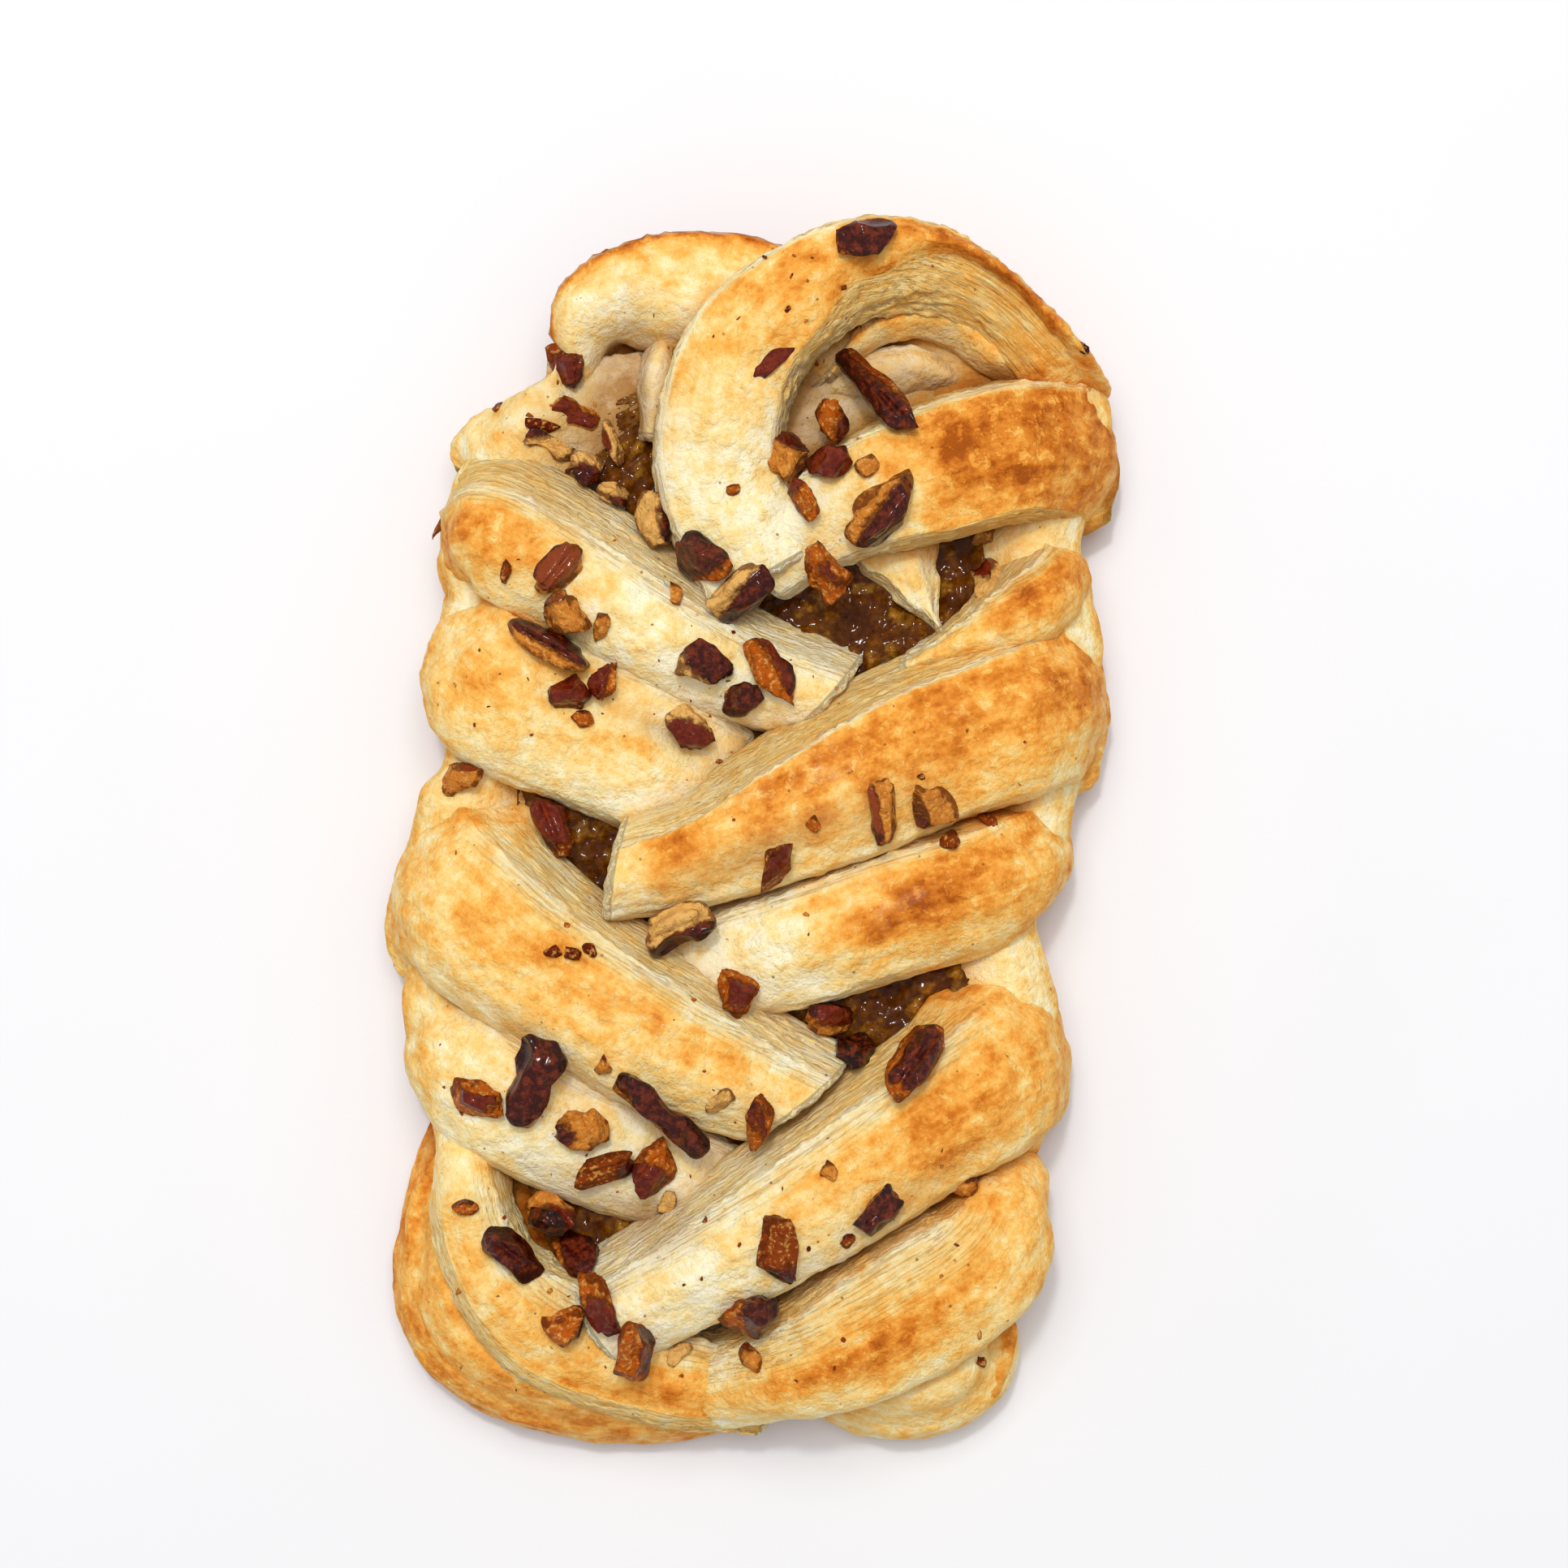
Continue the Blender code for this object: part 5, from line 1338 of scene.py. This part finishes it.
def marked(g, colour, cut, broad):
    """The pastry's colour with frayed edges, dark specks, places soaked with syrup and partly darkened as
    painted shade, and painted shade in the hollows.
    """
    colour = g.mix(g.scaled(g.attribute("fray"), 0.75), colour, FRAYED)
    speck = g.scaled(g.span(g.voronoi(0.5), 0.12, 0.06), g.span(g.noise(0.3, 2.0), 0.5, 0.58))
    colour = g.mix(g.scaled(speck, 0.75), colour, DARK_SPECK)
    colour = g.mix(g.scaled(g.attribute("soak_and_shade"), g.span(broad, 0.3, 0.55, 0.5, 1.0)), colour, SOAKED_AND_SHADED)
    shaded = g.scaled(g.attribute("painted_shade"), g.math("MULTIPLY_ADD", cut, -0.5, 1.0))
    return g.mix(shaded, colour, PAINTED_SHADE_TINT, "MULTIPLY")


def pastry_material():
    """Browned crust with blisters and glaze, and pale cut faces in layers. The attribute "flow" runs
    along a strip, across it and up."""
    g = Graph("puff_pastry")
    flow = g.attribute("flow", "Vector")
    brown = g.attribute("brown")
    cut = g.attribute("cut")
    broad = g.noise(0.16, 5.0, 0.62)
    patch = g.noise(0.36, 4.0, 0.5)
    grain = g.noise(1.6, 4.0, 0.6)
    streaks = g.noise(1.0, 5.0, 0.62, g.times(flow, (0.16, 2.0, 2.0)))
    drawn = g.noise(1.0, 4.0, 0.6, g.times(flow, (0.28, 0.9, 0.9)))
    blister = g.scaled(g.span(g.noise(0.8, 4.0, 0.64), 0.55, 0.6), g.span(g.noise(0.4, 2.0), 0.42, 0.56))
    pit = g.span(g.voronoi(1.0, g.times(flow, (0.4, 1.3, 1.3))), 0.16, 0.08)
    line = g.span(g.noise(1.0, 3.0, 0.6, g.times(flow, (0.14, 3.6, 3.6))), 0.46, 0.37)
    crust = g.ramp(crust_tone(g, brown, broad, patch, grain, drawn, blister), BAKED)
    face = face_colour(g, brown, streaks, patch, grain, pit, line)
    colour = g.mix(g.span(g.total(cut, g.about(patch, 0.5, 0.8)), 0.3, 0.6), crust, face)
    crust_relief = g.total(patch, g.scaled(grain, 0.5), g.scaled(blister, 0.06))
    face_relief = g.total(g.scaled(streaks, 1.5), g.scaled(grain, 0.5), g.scaled(pit, -0.5),
                          g.scaled(line, -0.5))
    relief = g.node("ShaderNodeMix", {0: cut, 2: crust_relief, 3: face_relief}).outputs[0]
    g.shade({"Base Color": marked(g, colour, cut, broad), "Normal": g.bump(relief, 0.0008, 0.8),
             "Roughness": g.span(patch, 0.35, 0.65, 0.38, 0.62), "Specular IOR Level": 0.08,
             "Coat Weight": g.scaled(g.attribute("glaze"), g.span(g.noise(0.8, 3.0), 0.45, 0.6)),
             "Coat Roughness": 0.08, "Coat Normal": g.bump(g.noise(2.2, 2.0), 0.0002),
             "Subsurface Weight": 0.2, "Subsurface Radius": (1.0, 0.45, 0.15), "Subsurface Scale": 0.0016})
    return g.material


def syrup_material():
    """Dark syrup with chopped nut, darkest in the creases between the chunks, where shade is painted."""
    g = Graph("nut_syrup")
    tone = g.total(g.attribute("tone"), g.about(g.noise(1.6, 4.0), 0.5, 1.6))
    colour = g.ramp(g.math("ADD", tone, 0.0, clamp=True), SYRUP)
    relief = g.total(g.noise(1.8, 4.0), g.scaled(g.noise(7.0, 2.0), 0.3))
    g.shade({"Base Color": g.mix(g.scaled(g.attribute("crease_shade"), 0.7), colour, SYRUP_CREASE_SHADE),
             "Roughness": g.span(g.noise(2.5, 2.0), 0.3, 0.7, 0.22, 0.5),
             "Specular IOR Level": 0.04, "Coat Weight": 0.4, "Coat Roughness": 0.12,
             "Subsurface Weight": 0.1, "Subsurface Radius": (1.0, 0.5, 0.2), "Subsurface Scale": 0.001,
             "Normal": g.bump(relief, 0.0006, 0.9)})
    return g.material


def nut_material():
    """Broken flesh with flecks and dark edges by the skin, and dark skin where the attribute "skin" is
    above 0.
    The attribute "rim" is 1 at the nut's outline, where flesh and skin get painted shade."""
    g = Graph("pecan")
    depth = g.total(g.attribute("skin"), g.about(g.noise(1.1, 4.0, 0.65), 0.5, 0.7))
    share = g.span(depth, -0.03, 0.03)
    edge = g.scaled(g.span(depth, -0.22, -0.02), g.math("SUBTRACT", 1.0, share))
    outline_shade = g.span(g.total(g.attribute("rim"), g.about(g.noise(0.9), 0.5, 0.9)), 0.84, 1.0)
    own = g.attribute("flesh_colour", "Color")
    flesh = g.mix(g.span(g.noise(0.9, 5.0, 0.68), 0.44, 0.66), own, g.mix(0.4, own, FLESH_DARK))
    flesh = g.mix(g.span(g.noise(1.7, 4.0), 0.5, 0.66, 0.0, 0.6), flesh, FLESH_PALE)
    flesh = g.mix(g.scaled(g.span(g.voronoi(1.3), 0.17, 0.08), 0.65), flesh, FLESH_FLECK)
    flesh = g.mix(g.scaled(g.math("MAXIMUM", edge, outline_shade), 0.75), flesh, FLESH_EDGE_AND_SHADE)
    skin = g.mix(g.span(g.noise(1.1, 5.0, 0.7), 0.42, 0.66, 0.0, 0.55),
                 g.attribute("skin_colour", "Color"), SKIN_PALE)
    skin = g.mix(g.scaled(outline_shade, 0.7), skin, SKIN_OUTLINE_SHADE)
    relief = g.total(g.noise(1.2, 4.0, 0.62), g.scaled(share, 0.4))
    g.shade({"Base Color": g.mix(share, flesh, skin), "Roughness": g.span(share, 0.0, 1.0, 0.45, 0.34),
             "Specular IOR Level": 0.06, "Coat Weight": g.math("MULTIPLY_ADD", share, 0.5, 0.1),
             "Coat Roughness": 0.14, "Normal": g.bump(relief, 0.0007, 0.9)})
    return g.material


def table_material():
    g = Graph("table")
    g.shade({"Base Color": g.mix(g.noise(0.02), tint(239, 239, 241), tint(236, 236, 238)),
             "Roughness": 0.6, "Specular IOR Level": 0.2})
    return g.material


# -------- scene

def finish_piece(piece, material):
    piece.data.materials.append(material)
    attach(piece, "root")


def dress():
    """The pieces of the plait, with their materials and the nodes that they replace."""
    pastry = pastry_material()
    syrup = syrup_material()
    pecan = nut_material()
    strips = [strip_object(number, strip) for number, strip in enumerate(STRIPS)]
    filling = filling_object()
    tree = surface_tree([*strips, filling])
    around = height_map(tree)
    for piece in [*strips, sheet_object()]:
        add_painted_shade(piece, around)
        finish_piece(piece, pastry)
        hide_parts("pastry")
    finish_piece(filling, syrup)
    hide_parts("filling")
    for piece in (crumbs_object(tree), specks_object(tree)):
        finish_piece(piece, pecan)
    for number in range(len(NUTS)):
        finish_piece(pecan_object(number, tree), pecan)


# The scene's own sizes, in metres: half the table's width, and (place, size, watts) of each light.
# The window is a wide, soft light from the top of the view, and the glint a small one beside it,
# which alone shows in the glaze.
TABLE_HALF = 2
WINDOW = ((-0.04, 0.34, 1.1), 0.75, 7.3)
GLINT = ((-0.08, 0.36, 1.05), 0.09, 3.0)
SKY_STRENGTH = 0.44
WHITE = (1.0, 1.0, 1.0)


def table():
    """The floor that the plait lies on. It is no part of it."""
    mesh = bpy.data.meshes.new("table")
    corners = [(x * TABLE_HALF, y * TABLE_HALF, 0) for x, y in ((-1, -1), (1, -1), (1, 1), (-1, 1))]
    mesh.from_pydata(corners, [], [(0, 1, 2, 3)])
    mesh.materials.append(table_material())
    made = add_object("table", mesh)


def area_light(name, place, size, watts):
    """A round white light that points to the middle of the plait."""
    data = bpy.data.lights.new(name, "AREA")
    data.shape = "DISK"
    data.size = size
    data.energy = watts
    data.color = WHITE
    made = add_object(name, data)
    made.location = place
    made.rotation_euler = (-Vector(place)).to_track_quat("-Z", "Y").to_euler()
    return made


def studio():
    world = bpy.data.worlds.new("studio")
    world.use_nodes = True
    background = world.node_tree.nodes["Background"]
    background.inputs["Color"].default_value = (*WHITE, 1.0)
    background.inputs["Strength"].default_value = SKY_STRENGTH
    bpy.context.scene.world = world
    window = area_light("window", *WINDOW)
    window.visible_glossy = False
    area_light("glint", *GLINT)
    bpy.context.scene.view_settings.view_transform = "Standard"


def camera():
    data = bpy.data.cameras.new("camera")
    data.sensor_fit = "HORIZONTAL"
    data.angle = 2 * math.atan(VIEW_WIDTH / 2 / VIEW_DISTANCE)
    data.clip_start = 0.01
    made = add_object("camera", data)
    made.location = Vector(CAMERA_PLACE) * MM
    bpy.context.scene.camera = made


dress()
table()
studio()
camera()
